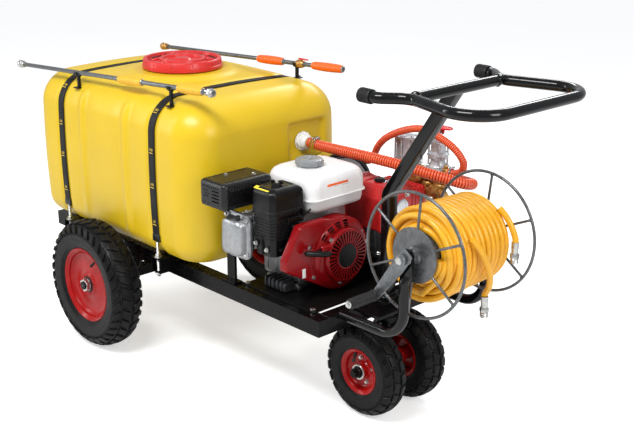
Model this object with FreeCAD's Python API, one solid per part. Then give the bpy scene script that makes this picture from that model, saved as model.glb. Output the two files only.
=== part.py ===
import FreeCAD, Part
import math
import os
from FreeCAD import Vector

# Wheeled sprayer cart. Millimetres. Origin on the ground under the rear axle, on the
# centre plane. +X runs forward to the pull handle, +Y to the far side, +Z up.
# "near" is the -Y side, where the reel crank is.

X = Vector(1, 0, 0)
Y = Vector(0, 1, 0)
Z = Vector(0, 0, 1)
GAP = 0.3            # gap left between pieces that only rest against each other
RUN = 0.05           # radial running clearance of a shaft in its bore

# ---------------------------------------------------------------- driving dimensions
# Chassis
rail_outer_y = 245.0
rail_width = 40.0
rail_height = 45.0
frame_bottom = 268.0
frame_top = frame_bottom + rail_height
rail_rear_x = -400.0
rail_front_x = 885.0
tube_wall = 3.0
bracket_x = 243.0            # cross tubes that carry the tank and its straps, fore and aft
bracket_size = 45.0
bracket_top = 330.0
bracket_half_length = 300.0
deck_thickness = 3.0
stop_y = 225.0               # tank stops on the side rails
near_stop_x = 508.0
near_stop_arm_y = -185.0     # the near stop steps in behind the engine's valve cover
far_stop_x = 462.0
stop_half = 17.0
stop_sheet = 4.0
stop_foot = 5.0
stop_foot_reach = 10.0
stop_arm_z = 400.0
stop_top = 430.0
stop_pad_half = 15.0
deck_top = frame_top + deck_thickness

# Rear wheels
rear_radius = 200.0
rear_width = 100.0
rear_centre_y = 358.0
rear_rim_radius = 117.0
rear_hub_radius = 27.0
rear_hub_half = 30.0
rear_axle_radius = 12.5
axle_bar = 32.0
axle_end_gap = 0.5
axle_pin_proud = 18.5

# Front wheels and steering
steer_x = 897.0
front_radius = 130.0
front_width = 76.0
front_centre_y = 79.0
front_rim_radius = 66.0
front_hub_radius = 20.0
front_hub_half = 32.5
rim_flange = 12.0
rim_sheet = 3.0
rim_disc_half = 2.0
bead_share = 0.34
front_axle_radius = 10.0
spindle_radius = 18.0
bearing_outer_radius = 30.0
bearing_bottom = 265.0
bearing_top = 325.0

# Tank
tank_rear_x = -432.0
tank_front_x = 438.0
tank_half_width = 300.0
tank_bottom = bracket_top + GAP
tank_top = 815.0
tank_wall = 6.0
tank_corner = 110.0
tank_top_edge = 92.0
tank_bottom_edge = 60.0
groove_depth = 14.0
groove_width = 38.0
strap_width = 30.0
strap_thickness = 3.0
mouth_x = 4.0
neck_outer_radius = 106.0
neck_inner_radius = 98.0
neck_top = 844.0
lid_radius = 124.5
lid_top = 857.0
outlet_y = 119.0             # centre of the suction outlet in the tank's front face
outlet_z = 646.0

# Spray lances on the tank
lance_radius = 7.0
lance_grip_radius = 14.0
lance_near_front = Vector(474, -245, 850)
lance_near_rear = Vector(-500, -284, 803)
lance_far_front = Vector(474, 240, 852)
lance_far_rear = Vector(-338, 171, 828)
lance_front_grip = (36.0, 146.0)       # both grips, counted back from the front end
lance_near_grip = (311.0, 420.0)
lance_far_grip = (238.0, 345.0)
lance_nozzle = 26.0
cradle_spots = (-165.0, 290.0)

# Engine, with its crankshaft along X and the recoil starter facing forward
crank_y = -48.0
crank_z = deck_top + 106.0
recoil_face_x = 792.0
shroud_front_x = 765.0
shroud_back_x = 722.0
wing_back_x = 742.0           # clears the control levers behind it
block_back_x = 545.0
block_front_x = 690.0
crank_radius = 12.0
drum_outer_radius = 104.0
shroud_wing_y = -250.0
shroud_wing_top = 532.0
sheet = 3.0
recoil_radius = 76.0
recoil_slots = 36
recoil_slot_half = 1.9
recoil_slot_reach = (40.0, 66.0)
flywheel_radius = 92.0
head_face_y = crank_y - 204
fin_count = 8
fin_step = 14.0
cover_x = 580.0              # valve cover centre and half sizes
cover_z = 479.0
cover_half_x = 43.0
cover_half_z = 56.0
cleaner_x0 = 630.0
cleaner_x1 = 719.0
cleaner_y0 = -255.0
cleaner_y1 = -154.0
cleaner_base_z = 440.0
cleaner_seam_z = 563.0
cleaner_cover_height = 65.0
guard_x0 = 482.0             # heat guard round the muffler
guard_x1 = 590.0
guard_y0 = -312.0
guard_y1 = -139.0
guard_z0 = 553.0
guard_z1 = 630.0
throttle_pivot = (-160.0, 522.0)
choke_pivot = (-170.0, 488.0)

# Fuel tank
fuel_x0 = 542.0
fuel_x1 = 740.0
fuel_y0 = -133.0
fuel_y1 = 82.0
fuel_seam_z = 579.0
fuel_top_z = 646.0
fuel_lower_depth = 42.0
fuel_wall = 4.0
filler_radius = 20.0
cap_radius = 41.0
cap_x = 637.0
cap_y = -47.0

# Belt drive and pump
belt_x = 507.0
engine_pulley_radius = 42.0
pump_pulley_radius = 128.0
pump_y = 168.0
pump_z = 475.0
pump_back_x = 620.0
pump_front_x = 780.0
pump_base = 370.0
pump_top = 576.0
head_y = 300.0
stand_width = 40.0
pulley_bore = 12.0
chamber_x = 686.0
chamber_radius = 38.0
regulator_x = 800.0
regulator_pin_z = 709.0

# Hoses
suction_radius = 15.0
suction_bore = 12.3
return_radius = 10.0
return_bore = 7.0

# Reel
reel_x = 1110.0
reel_z = 530.0
reel_flange_y = 135.0
reel_ring_radius = 160.0
reel_rod_radius = 4.0
reel_shaft_radius = 10.0
hose_outer_radius = 123.0
drum_radius = 58.0
arm_y = 160.0
arm_radius = 14.0
arm_bend = 76.0
arm_base_z = 309.0
crank_length = 148.0
crank_angle = math.radians(233)    # direction of the crank arm, from +X towards +Z
tail_spots = ((82.0, 45.0, -128.0), (134.0, 108.0, -2.0))     # hose ends, counted from the reel centre

# Handle
handle_z = 925.0
handle_radius = 14.0
handle_grip_x = 1003.0
handle_grip_y = 216.0
handle_waist_x = 1110.0
handle_waist_y = 165.0
handle_front_x = 1360.0
handle_front_y = 235.0
handle_bends = (34.0, 60.0, 85.0)
post_size = 32.0
knee_z = 612.0


# ---------------------------------------------------------------- small helpers
def box(x0, x1, y0, y1, z0, z1):
    return Part.makeBox(x1 - x0, y1 - y0, z1 - z0, Vector(x0, y0, z0))


def rod(start, end, radius):
    axis = end - start
    return Part.makeCylinder(radius, axis.Length, start, axis)


def ring(start, end, outer, inner):
    return rod(start, end, outer).cut(rod(start, end, inner))


def fuse(shapes):
    result = shapes[0].multiFuse(shapes[1:]) if len(shapes) > 1 else shapes[0]
    return result.removeSplitter()


def group(shapes):
    return Part.makeCompound(shapes)


def mirror_y(shape):
    return shape.mirror(Vector(0, 0, 0), Y)


def rounded(shape, radius, keep):
    """Fillet the edges for which keep(edge) is true."""
    edges = [edge for edge in shape.Edges if keep(edge)]
    return shape.makeFillet(radius, edges)


def along(edge, axis):
    if not isinstance(edge.Curve, Part.Line):
        return False
    return abs(abs(edge.Curve.Direction.dot(axis)) - 1) < 1e-6


def polygon(points, depth):
    """Prism from a closed outline, pushed along the vector depth."""
    outline = Part.makePolygon(points + [points[0]])
    return Part.Face(outline).extrude(depth)


def bend_path(points, bends):
    """Wire through the points. Each inner corner is rounded to its radius in bends."""
    edges = []
    start = points[0]
    for before, corner, after, bend in zip(points, points[1:], points[2:], bends):
        back = (before - corner).normalize()
        ahead = (after - corner).normalize()
        half = back.getAngle(ahead) / 2
        cut = bend / math.tan(half)
        enter = corner + back * cut
        leave = corner + ahead * cut
        middle_way = (back + ahead).normalize()
        middle = corner + middle_way * (bend / math.sin(half) - bend)
        edges.append(Part.LineSegment(start, enter).toShape())
        edges.append(Part.Arc(enter, middle, leave).toShape())
        start = leave
    edges.append(Part.LineSegment(start, points[-1]).toShape())
    return Part.Wire(edges)


def sweep(path, radius):
    """Round bar along a wire."""
    first = path.OrderedEdges[0]
    start = first.valueAt(first.FirstParameter)
    heading = first.tangentAt(first.FirstParameter)
    circle = Part.Wire([Part.Circle(start, heading, radius).toShape()])
    return path.makePipeShell([circle], True, False)


def spline(points):
    curve = Part.BSplineCurve()
    curve.interpolate(points)
    return Part.Wire([curve.toShape()])


def turned(profile, centre, axis, across):
    """Solid of revolution. The profile lists (distance along axis, radius) points."""
    points = [centre + axis * along_axis + across * radius for along_axis, radius in profile]
    face = Part.Face(Part.makePolygon(points + [points[0]]))
    return face.revolve(centre, axis, 360)


def hexagon(centre, axis, across_flats, height):
    """Hexagonal nut or head standing on its centre point along axis."""
    side = Vector(0, 0, 1) if abs(axis.z) < 0.5 else Vector(1, 0, 0)
    other = axis.cross(side)
    reach = across_flats / math.sqrt(3)
    points = []
    for index in range(6):
        angle = math.radians(60 * index)
        points.append(centre + side * (reach * math.cos(angle)) + other * (reach * math.sin(angle)))
    return polygon(points, axis * height)


# ---------------------------------------------------------------- chassis
def frame():
    rail_inner_y = rail_outer_y - rail_width
    outer = []
    voids = []
    for side in (-1, 1):
        low, high = sorted((side * rail_inner_y, side * rail_outer_y))
        outer.append(box(rail_rear_x, rail_front_x, low, high, frame_bottom, frame_top))
        voids.append(box(rail_rear_x, rail_front_x - tube_wall, low + tube_wall, high - tube_wall,
                         frame_bottom + tube_wall, frame_top - tube_wall))
    reach = rail_outer_y - tube_wall
    for start in (rail_rear_x, rail_front_x - rail_width):
        outer.append(box(start, start + rail_width, -rail_inner_y, rail_inner_y, frame_bottom, frame_top))
        voids.append(box(start + tube_wall, start + rail_width - tube_wall, -reach, reach,
                         frame_bottom + tube_wall, frame_top - tube_wall))
    for centre in (-bracket_x, bracket_x):
        low = centre - bracket_size / 2
        high = centre + bracket_size / 2
        bottom = bracket_top - bracket_size
        outer.append(box(low, high, -bracket_half_length, bracket_half_length, bottom, bracket_top))
        voids.append(box(low + tube_wall, high - tube_wall, -bracket_half_length, bracket_half_length,
                         bottom + tube_wall, bracket_top - tube_wall))
    plate_front = 972.0
    plate_half = 110.0
    outer.append(box(rail_front_x - rail_width, plate_front, -plate_half, plate_half,
                     frame_top - 8, frame_top))
    outer.append(rod(Vector(steer_x, 0, bearing_bottom), Vector(steer_x, 0, bearing_top),
                     bearing_outer_radius))
    for side in (-1, 1):
        bracket_y = side * (rail_outer_y - rail_width / 2)
        half_bar = axle_bar / 2
        outer.append(polygon([Vector(-70, bracket_y - 4, frame_bottom),
                              Vector(70, bracket_y - 4, frame_bottom),
                              Vector(30, bracket_y - 4, rear_radius + half_bar),
                              Vector(-30, bracket_y - 4, rear_radius + half_bar)], Y * 8))
        gusset_y = side * 70.0
        outer.append(polygon([Vector(rail_front_x, gusset_y - 4, frame_top - 8),
                              Vector(plate_front - 8, gusset_y - 4, frame_top - 8),
                              Vector(rail_front_x, gusset_y - 4, frame_bottom + 8)], Y * 8))
    body = fuse(outer)
    for void in voids:
        body = body.cut(void)
    body = body.cut(rod(Vector(steer_x, 0, bearing_bottom - 1), Vector(steer_x, 0, bearing_top + 1),
                        spindle_radius + RUN))
    for centre in (-bracket_x, bracket_x):
        for side in (-1, 1):
            hole = Vector(centre, side * strap_bolt_y(), 0)
            body = body.cut(rod(hole + Z * 270, hole + Z * 340, 5.3))
    return body


def strap_bolt_y():
    return tank_half_width - groove_depth + GAP + 5.2


def deck_plate():
    plate = box(545, 838, -218, 240, frame_top, deck_top)
    pieces = [plate]
    for low in (pump_back_x + 5, pump_front_x - 45):
        pieces.append(box(low, low + 40, pump_y - 85, pump_y + 72, deck_top, pump_base))
    body = fuse(pieces)
    for low in (pump_back_x + 5, pump_front_x - 45):
        body = body.cut(box(low + 4, low + 36, pump_y - 86, pump_y + 73, deck_top + 4, pump_base - 4))
    return body


def rear_axle():
    half = axle_bar / 2
    shoulder = rear_centre_y - rear_hub_half - axle_end_gap
    bar = box(-half, half, -shoulder, shoulder, rear_radius - half, rear_radius + half)
    pin_end = rear_centre_y + rear_hub_half + axle_pin_proud
    pin = rod(Vector(0, -pin_end, rear_radius), Vector(0, pin_end, rear_radius), rear_axle_radius)
    return fuse([bar, pin])


def tank_stops():
    """Posts on the side rails whose padded arms keep the tank from sliding forward."""
    bars = []
    for side, post_x, arm_y in ((-1, near_stop_x, near_stop_arm_y), (1, far_stop_x, stop_y)):
        y = side * stop_y
        back = post_x - stop_half
        front = post_x + stop_half
        foot = box(back - stop_foot_reach, front + stop_foot_reach, y - stop_pad_half, y + stop_pad_half,
                   frame_top, frame_top + stop_foot)
        upright = box(back, front, y - stop_sheet, y + stop_sheet, frame_top + stop_foot, stop_top)
        bridge = box(back, front, min(y, arm_y) - stop_sheet, max(y, arm_y) + stop_sheet, stop_arm_z, stop_top)
        arm = box(tank_front_x + 2, front, arm_y - stop_sheet, arm_y + stop_sheet, stop_arm_z, stop_top)
        pad = box(tank_front_x + 2, tank_front_x + 6, arm_y - stop_pad_half, arm_y + stop_pad_half,
                  stop_arm_z - 5, stop_top + 5)
        bars.append(fuse([foot, upright, bridge, arm, pad]))
    return group(bars)


def chassis_bolts():
    """Axle nuts, deck screws and the bolts that hold the tank stops."""
    pieces = []
    nut_start = rear_centre_y + rear_hub_half + axle_end_gap + GAP
    for side in (-1, 1):
        nut = hexagon(Vector(0, side * nut_start, rear_radius), Y * side, 36, 14)
        pieces.append(nut.cut(rod(Vector(0, -500, rear_radius), Vector(0, 500, rear_radius),
                                  rear_axle_radius)))
    top = deck_top
    for x in (557, 823):
        for y in (-208, 230):
            pieces.append(hexagon(Vector(x, y, top), Z, 13, 6))
    return group(pieces)


def reel_arm():
    """Near arm: along the frame, bent up to the reel, flattened around its bearing."""
    base_z = arm_base_z
    path = bend_path([Vector(rail_front_x, -arm_y, base_z),
                      Vector(reel_x - 8, -arm_y, base_z),
                      Vector(reel_x - 8, -arm_y, reel_z - 42)], (arm_bend,))
    tube = sweep(path, arm_radius)
    plate = box(reel_x - 22, reel_x + 14, -arm_y - 5, -arm_y + 5, reel_z - 70, reel_z)
    eye = rod(Vector(reel_x, -arm_y - 5, reel_z), Vector(reel_x, -arm_y + 5, reel_z), 20)
    body = fuse([tube, plate, eye])
    return body.cut(rod(Vector(reel_x, -arm_y - 9, reel_z), Vector(reel_x, -arm_y + 9, reel_z),
                        reel_shaft_radius + RUN))


# ---------------------------------------------------------------- tank
def soft_box(x0, x1, half_width, z0, z1, corner, top_edge, bottom_edge):
    """Box with rounded upright corners and rounded top and bottom rims."""
    body = box(x0, x1, -half_width, half_width, z0, z1)
    body = rounded(body, corner, lambda edge: along(edge, Z))
    body = rounded(body, top_edge, lambda edge: edge.BoundBox.ZMin > z1 - 1e-3)
    return rounded(body, bottom_edge, lambda edge: edge.BoundBox.ZMax < z0 + 1e-3)


def section_band(x0, x1, inset, thickness):
    """Band round the tank's cross-section between inset and inset + thickness inside its skin."""
    def profile(shift):
        half = tank_half_width - shift
        block = box(x0, x1, -half, half, tank_bottom + shift, tank_top - shift)
        block = rounded(block, tank_top_edge - shift,
                        lambda edge: along(edge, X) and edge.BoundBox.ZMin > tank_top - shift - 1)
        return rounded(block, tank_bottom_edge - shift,
                       lambda edge: along(edge, X) and edge.BoundBox.ZMax < tank_bottom + shift + 1)
    return profile(inset).cut(profile(inset + thickness))


def tank():
    wall = tank_wall
    body = soft_box(tank_rear_x, tank_front_x, tank_half_width, tank_bottom, tank_top,
                    tank_corner, tank_top_edge, tank_bottom_edge)
    cavity = soft_box(tank_rear_x + wall, tank_front_x - wall, tank_half_width - wall,
                      tank_bottom + wall, tank_top - wall,
                      tank_corner - wall, tank_top_edge - wall, tank_bottom_edge - wall)
    above = box(-500, 500, -400, 400, tank_bottom + 12, tank_top + 50)
    for centre in (-bracket_x, bracket_x):
        groove = section_band(centre - groove_width / 2, centre + groove_width / 2, 0, groove_depth)
        body = body.cut(groove.common(above))
        half = groove_width / 2 + wall
        rib = section_band(centre - half, centre + half, 0, groove_depth + wall)
        cavity = cavity.cut(rib.common(above))
    collar = rod(Vector(mouth_x, 0, tank_top - 5), Vector(mouth_x, 0, tank_top + 10), 165)
    neck = rod(Vector(mouth_x, 0, tank_top), Vector(mouth_x, 0, neck_top), neck_outer_radius)
    body = fuse([body, collar, neck])
    body = body.cut(cavity)
    body = body.cut(rod(Vector(mouth_x, 0, tank_top - 20), Vector(mouth_x, 0, neck_top + 1),
                        neck_inner_radius))
    outlet = Vector(tank_front_x, outlet_y, outlet_z)
    return body.cut(rod(outlet - X * 20, outlet + X * 5, 16.5))


def outlet_fitting():
    """Bulkhead nut outside the tank wall and its hose tail."""
    centre = Vector(tank_front_x, outlet_y, outlet_z)
    nut = hexagon(centre + X * GAP, X, 50, 14)
    flange = rod(centre + X * 14, centre + X * 20, 20)
    tail = rod(centre - X * 12, centre + X * 60, 12)
    body = fuse([nut, flange, tail])
    return body.cut(rod(centre - X * 13, centre + X * 61, 9))


def tank_straps():
    straps = []
    keep = box(-500, 500, -400, 400, tank_bottom + 50, tank_top + 50)
    for centre in (-bracket_x, bracket_x):
        band = section_band(centre - strap_width / 2, centre + strap_width / 2,
                            groove_depth - GAP - strap_thickness, strap_thickness)
        straps.append(band.common(keep).Solids[0])
    return group(straps)


def strap_bolts():
    """Threaded hooks that pull each strap end down to its bracket, with nuts below."""
    pieces = []
    low = bracket_top - bracket_size
    for centre in (-bracket_x, bracket_x):
        for side in (-1, 1):
            foot = Vector(centre, side * strap_bolt_y(), 0)
            shank = rod(foot + Z * (low - 14), foot + Z * (tank_bottom + 50 - GAP), 5)
            collar = hexagon(foot + Z * (bracket_top + GAP), Z, 16, 8)
            nut = hexagon(foot + Z * (low - 8 - GAP), Z, 16, 8)
            pieces.append(fuse([shank, collar, nut]))
    return group(pieces)


def tank_lid():
    skirt_bottom = tank_top + 13
    inner = neck_outer_radius + 2.5
    lid = rod(Vector(mouth_x, 0, skirt_bottom), Vector(mouth_x, 0, lid_top), lid_radius)
    lid = rounded(lid, 5, lambda edge: edge.BoundBox.ZMin > lid_top - 1e-3)
    lid = lid.cut(rod(Vector(mouth_x, 0, skirt_bottom - 1), Vector(mouth_x, 0, lid_top - 8), inner))
    knob = ring(Vector(mouth_x, 0, lid_top - 1), Vector(mouth_x, 0, lid_top + 8), 70, 60)
    return fuse([lid, knob])


def lid_gasket():
    return ring(Vector(mouth_x, 0, neck_top + GAP), Vector(mouth_x, 0, lid_top - 8 - GAP),
                neck_outer_radius, neck_inner_radius)


# ---------------------------------------------------------------- lances
def lance(front, rear, rear_grip):
    """Spray lance: tube, two grips, nozzle at the rear and hose nut at the front."""
    way = (rear - front).normalize()
    length = (rear - front).Length
    pieces = [rod(front, rear, lance_radius)]
    for start, end in (lance_front_grip, rear_grip):
        pieces.append(rod(front + way * start, front + way * end, lance_grip_radius))
    pieces.append(rod(front + way * (length - lance_nozzle), rear, lance_grip_radius - 1))
    pieces.append(hexagon(front, way, 24, 22))
    return fuse(pieces)


def lance_point(front, rear, x):
    way = rear - front
    return front + way * ((x - front.x) / way.x)


def lance_hooks():
    """Open wire cradles on the tank top, two under each lance."""
    pieces = []
    for front, rear in ((lance_near_front, lance_near_rear), (lance_far_front, lance_far_rear)):
        for x in (-165, 290):
            rest = lance_point(front, rear, x)
            bottom = rest.z - lance_radius - 1
            base = tank_surface(abs(rest.y) - 3) + GAP
            post = box(x - 6, x + 6, rest.y - 3, rest.y + 3, base, bottom - 4)
            tray = box(x - 6, x + 6, rest.y - 15, rest.y + 15, bottom - 5, bottom)
            lips = [box(x - 6, x + 6, rest.y + side * 12.5 - 2.5, rest.y + side * 12.5 + 2.5,
                        bottom - 5, bottom + 12) for side in (-1, 1)]
            if bottom - 5 > base:
                pieces.append(fuse([post, tray] + lips))
            else:
                pieces.append(fuse([tray] + lips))
    return group(pieces)


def tank_surface(y):
    """Height of the tank's top skin at the distance y from the centre plane."""
    flat_end = tank_half_width - tank_top_edge
    if y <= flat_end:
        return tank_top
    return tank_top - tank_top_edge + math.sqrt(tank_top_edge ** 2 - (y - flat_end) ** 2)


# ---------------------------------------------------------------- engine
def engine_block():
    """Crankcase with its feet and the finned cylinder that lies towards the near side."""
    case = box(block_back_x, block_front_x, crank_y - 90, crank_y + 90, deck_top + 12, crank_z + 80)
    case = rounded(case, 18, lambda edge: along(edge, X))
    foot = box(block_back_x + 20, block_front_x, crank_y - 105, crank_y + 85, deck_top, deck_top + 14)
    pieces = [case, foot]
    for index in range(fin_count):
        y = crank_y - 98 - fin_step * index
        pieces.append(box(cover_x - 32, cover_x + 26, y - 3, y + 3, cover_z - 47, cover_z + 51))
    pieces.append(box(cover_x - 25, cover_x + 20, head_face_y, crank_y - 85, cover_z - 39, cover_z + 41))
    body = fuse(pieces)
    axis = Vector(0, crank_y, crank_z)
    shaft_hole = rod(axis + X * (block_back_x - 5), axis + X * (block_front_x + 5), crank_radius + RUN)
    web_room = rod(axis + X * (block_back_x + 25), axis + X * (block_front_x - 25), 46)
    return body.cut(shaft_hole).cut(web_room)


def valve_cover():
    face = head_face_y - 41
    cover = box(cover_x - cover_half_x, cover_x + cover_half_x, face, head_face_y - 6,
                cover_z - cover_half_z, cover_z + cover_half_z)
    cover = rounded(cover, 18, lambda edge: along(edge, Y))
    cover = rounded(cover, 8, lambda edge: edge.BoundBox.YMax < face + 1e-3)
    flange = box(cover_x - cover_half_x - 5, cover_x + cover_half_x + 5, head_face_y - 12, head_face_y - GAP,
                 cover_z - cover_half_z - 5, cover_z + cover_half_z + 5)
    return fuse([cover, rounded(flange, 12, lambda edge: along(edge, Y))])


def crankshaft():
    axis = Vector(0, crank_y, crank_z)
    main = rod(axis + X * (belt_x - 24), axis + X * (shroud_front_x - 18), crank_radius)
    web = rod(axis + X * (block_back_x + 40), axis + X * (block_front_x - 40), 40)
    return fuse([main, web])


def flywheel():
    axis = Vector(0, crank_y, crank_z)
    wheel = rod(axis + X * (shroud_back_x + 2), axis + X * (shroud_back_x + 20), flywheel_radius)
    fan = ring(axis + X * (shroud_back_x + 20), axis + X * (shroud_back_x + 32), 84, 60)
    body = fuse([wheel, fan])
    return body.cut(rod(axis + X * 600, axis + X * 800, crank_radius))


def fan_shroud():
    """Red fan housing: a round drum with a wing that leads the air to the cylinder."""
    def outline(shift):
        radius = drum_outer_radius - shift
        drum = rod(Vector(shroud_back_x, crank_y, crank_z), Vector(shroud_front_x, crank_y, crank_z), radius)
        wing = polygon([Vector(wing_back_x, shroud_wing_y + shift, 416 + shift),
                        Vector(wing_back_x, crank_y - 45, 324 + shift),
                        Vector(wing_back_x, crank_y - 10, crank_z),
                        Vector(wing_back_x, crank_y - 12, shroud_wing_top - 8 - shift),
                        Vector(wing_back_x, crank_y - 150, shroud_wing_top - shift),
                        Vector(wing_back_x, shroud_wing_y + shift, 446 - shift)],
                       X * (shroud_front_x - wing_back_x))
        return drum.fuse(wing)
    shell = outline(0)
    inner = outline(sheet)
    inner.translate(X * -sheet)
    body = shell.cut(inner)
    body = body.removeSplitter()
    axis = Vector(0, crank_y, crank_z)
    return body.cut(rod(axis + X * (shroud_front_x - 10), axis + X * (shroud_front_x + 5), 70))


def recoil_cover():
    """Round starter cover with a ring of radial air slots and a rope guide."""
    axis = Vector(0, crank_y, crank_z)
    back = shroud_front_x + GAP
    shell = rod(axis + X * back, axis + X * recoil_face_x, recoil_radius)
    shell = rounded(shell, 9, lambda edge: edge.BoundBox.XMin > recoil_face_x - 1e-3)
    shell = shell.cut(rod(axis + X * (back - 1), axis + X * (recoil_face_x - 4), recoil_radius - 4))
    slots = []
    for index in range(recoil_slots):
        slot = box(recoil_face_x - 6, recoil_face_x + 1, -recoil_slot_half, recoil_slot_half,
                   recoil_slot_reach[0], recoil_slot_reach[1])
        slot.rotate(Vector(0, 0, 0), X, 360 * index / recoil_slots)
        slot.translate(axis)
        slots.append(slot)
    shell = shell.cut(Part.makeCompound(slots))
    mouth = rope_start() + Y * 44
    guide = rod(mouth, mouth + Y * 40, 8)
    guide = guide.cut(rod(axis + X * (back - 60), axis + X * (back + 60), recoil_radius - 4))
    body = fuse([shell, guide])
    return body.cut(rod(mouth - Y * 5, mouth + Y * 55, 3.0))


def handle_home():
    return Vector(798, crank_y - 117, crank_z + 36)


def rope_start():
    """Where the rope leaves the handle: straight behind it, in line with its guide."""
    home = handle_home()
    return Vector(recoil_face_x - 11, home.y - 17, home.z)


def recoil_handle():
    """T handle on its rope. The stored rope is a straight length inside the cover."""
    home = handle_home()
    bar_way = Vector(math.cos(math.radians(45)), math.sin(math.radians(45)), 0)
    bar = rod(home - bar_way * 36, home + bar_way * 36, 8)
    rope = rod(rope_start(), rope_start() + Y * 175, 2.0)
    return fuse([bar, rope])


def fuel_tank():
    """Moulded tank in two halves that meet at a lip, with an open filler neck."""
    upper = box(fuel_x0, fuel_x1, fuel_y0, fuel_y1, fuel_seam_z, fuel_top_z)
    upper = rounded(upper, 34, lambda edge: along(edge, Z))
    upper = rounded(upper, 18, lambda edge: edge.BoundBox.ZMin > fuel_top_z - 1e-3)
    lip = box(fuel_x0 - 3, fuel_x1 + 3, fuel_y0 - 3, fuel_y1 + 3, fuel_seam_z - 3, fuel_seam_z)
    lip = rounded(lip, 36, lambda edge: along(edge, Z))
    lower_bottom = fuel_seam_z - fuel_lower_depth
    lower = box(fuel_x0 + 5, fuel_x1 - 5, fuel_y0 + 5, fuel_y1 - 5, lower_bottom, fuel_seam_z - 3)
    lower = rounded(lower, 30, lambda edge: along(edge, Z))
    lower = rounded(lower, 14, lambda edge: edge.BoundBox.ZMax < lower_bottom + 1e-3)
    body = fuse([upper, lip, lower])
    inset = 5 + fuel_wall
    cavity = box(fuel_x0 + inset, fuel_x1 - inset, fuel_y0 + inset, fuel_y1 - inset,
                 lower_bottom + fuel_wall, fuel_top_z - fuel_wall)
    cavity = rounded(cavity, 26, lambda edge: along(edge, Z))
    cavity = rounded(cavity, 12, lambda edge: edge.BoundBox.ZMin > fuel_top_z - 5)
    cavity = rounded(cavity, 10, lambda edge: edge.BoundBox.ZMax < lower_bottom + 5)
    filler = Vector(cap_x, cap_y, fuel_top_z)
    neck = rod(filler - Z * 5, filler + Z * 8, filler_radius + 4)
    body = fuse([body, neck]).cut(cavity)
    return body.cut(rod(filler - Z * 8, filler + Z * 9, filler_radius))


def fuel_cap():
    base = Vector(cap_x, cap_y, fuel_top_z + GAP)
    cap = rod(base + Z * 2, base + Z * 18, cap_radius)
    cap = rounded(cap, 4, lambda edge: edge.BoundBox.ZMin > base.z + 17)
    return cap.cut(rod(base, base + Z * 12, filler_radius + 4.2))


def air_cleaner_case():
    case = box(cleaner_x0, cleaner_x1, cleaner_y0, cleaner_y1, cleaner_base_z, cleaner_seam_z)
    case = rounded(case, 10, lambda edge: along(edge, Z))
    return case.cut(box(cleaner_x0 + 4, cleaner_x1 - 4, cleaner_y0 + 4, cleaner_y1 - 4,
                        cleaner_seam_z - 63, cleaner_seam_z + 1))


def air_cleaner_cover():
    top = cleaner_seam_z + cleaner_cover_height
    back = cleaner_y1 + 15
    cover = box(cleaner_x0 - 3, cleaner_x1 + 3, cleaner_y0 - 3, back, cleaner_seam_z + GAP, top)
    cover = rounded(cover, 14, lambda edge: along(edge, Z))
    cover = rounded(cover, 10, lambda edge: edge.BoundBox.ZMin > top - 1e-3)
    cover = cover.cut(box(cleaner_x0 + 1, cleaner_x1 - 1, cleaner_y0 + 1, back - 4,
                          cleaner_seam_z, top - 6))
    knob = Vector((cleaner_x0 + cleaner_x1) / 2, (cleaner_y0 + back) / 2, top)
    return fuse([cover, rod(knob - Z, knob + Z * 12, 12)])


def muffler():
    body = box(guard_x0 + 8, guard_x1 - 8, guard_y0 + 14, guard_y1 - 13, guard_z0 + 9, guard_z1 - 12)
    body = rounded(body, 18, lambda edge: along(edge, Y))
    pipe = rod(Vector(guard_x1 - 2, -170, 598), Vector(guard_x1 - 20, -170, 598), 10)
    return fuse([body, pipe])


def muffler_guard():
    """Sheet guard, open at its front, with louvres in its top and in its near end."""
    outer = rounded(box(guard_x0, guard_x1, guard_y0, guard_y1, guard_z0, guard_z1), 12,
                    lambda edge: along(edge, Y))
    body = outer.cut(box(guard_x0 + 5, guard_x1 + 6, guard_y0 + 5, guard_y1 - 5, guard_z0 + 5, guard_z1 - 5))
    slots = []
    for index in range(10):
        y = guard_y0 + 20 + 15 * index
        slots.append(box(guard_x0 + 14, guard_x1 - 14, y, y + 6, guard_z1 - 10, guard_z1 + 3))
    for index in range(5):
        z = guard_z0 + 12 + 11 * index
        slots.append(box(guard_x0 + 16, guard_x1 - 16, guard_y0 - 2, guard_y0 + 8, z, z + 5))
    return body.cut(Part.makeCompound(slots))


def carburettor():
    body = box(606.5, 629.5, -215, -165, 482, 530)
    bowl = rod(Vector(618, -190, 456), Vector(618, -190, 483), 11)
    return fuse([body, bowl])


def control_lever(y, z, length):
    """Flat lever on a pivot pin in front of the air cleaner case."""
    face = cleaner_x1 + GAP
    pin = rod(Vector(face, y, z), Vector(face + 14, y, z), 5)
    blade = box(face + 9, face + 14, y - length, y, z - 5, z + 5)
    tip = rod(Vector(face + 6, y - length, z), Vector(face + 17, y - length, z), 6)
    return fuse([pin, blade, tip])


# ---------------------------------------------------------------- belt drive
def pulley(centre_y, centre_z, radius, bore, web_radius):
    axis = Vector(belt_x, centre_y, centre_z)
    depth = 11.0
    half = 15.0
    profile = [(-half, bore), (-half, radius), (-8, radius), (-3.5, radius - depth), (3.5, radius - depth),
               (8, radius), (half, radius), (half, bore)]
    body = turned(profile, axis, X, Z)
    if web_radius:
        for side in (-1, 1):
            start = axis + X * (side * half)
            end = axis + X * (side * 6)
            body = body.cut(ring(start, end, web_radius, 34))
    return body


def engine_pulley():
    return pulley(crank_y, crank_z, engine_pulley_radius, crank_radius, 0)


def pump_pulley():
    body = pulley(pump_y, pump_z, pump_pulley_radius, pulley_bore, pump_pulley_radius - 24)
    stub = rod(Vector(belt_x - 18, pump_y, pump_z), Vector(pump_back_x + 60, pump_y, pump_z),
               pulley_bore)
    return fuse([body, stub])


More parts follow.
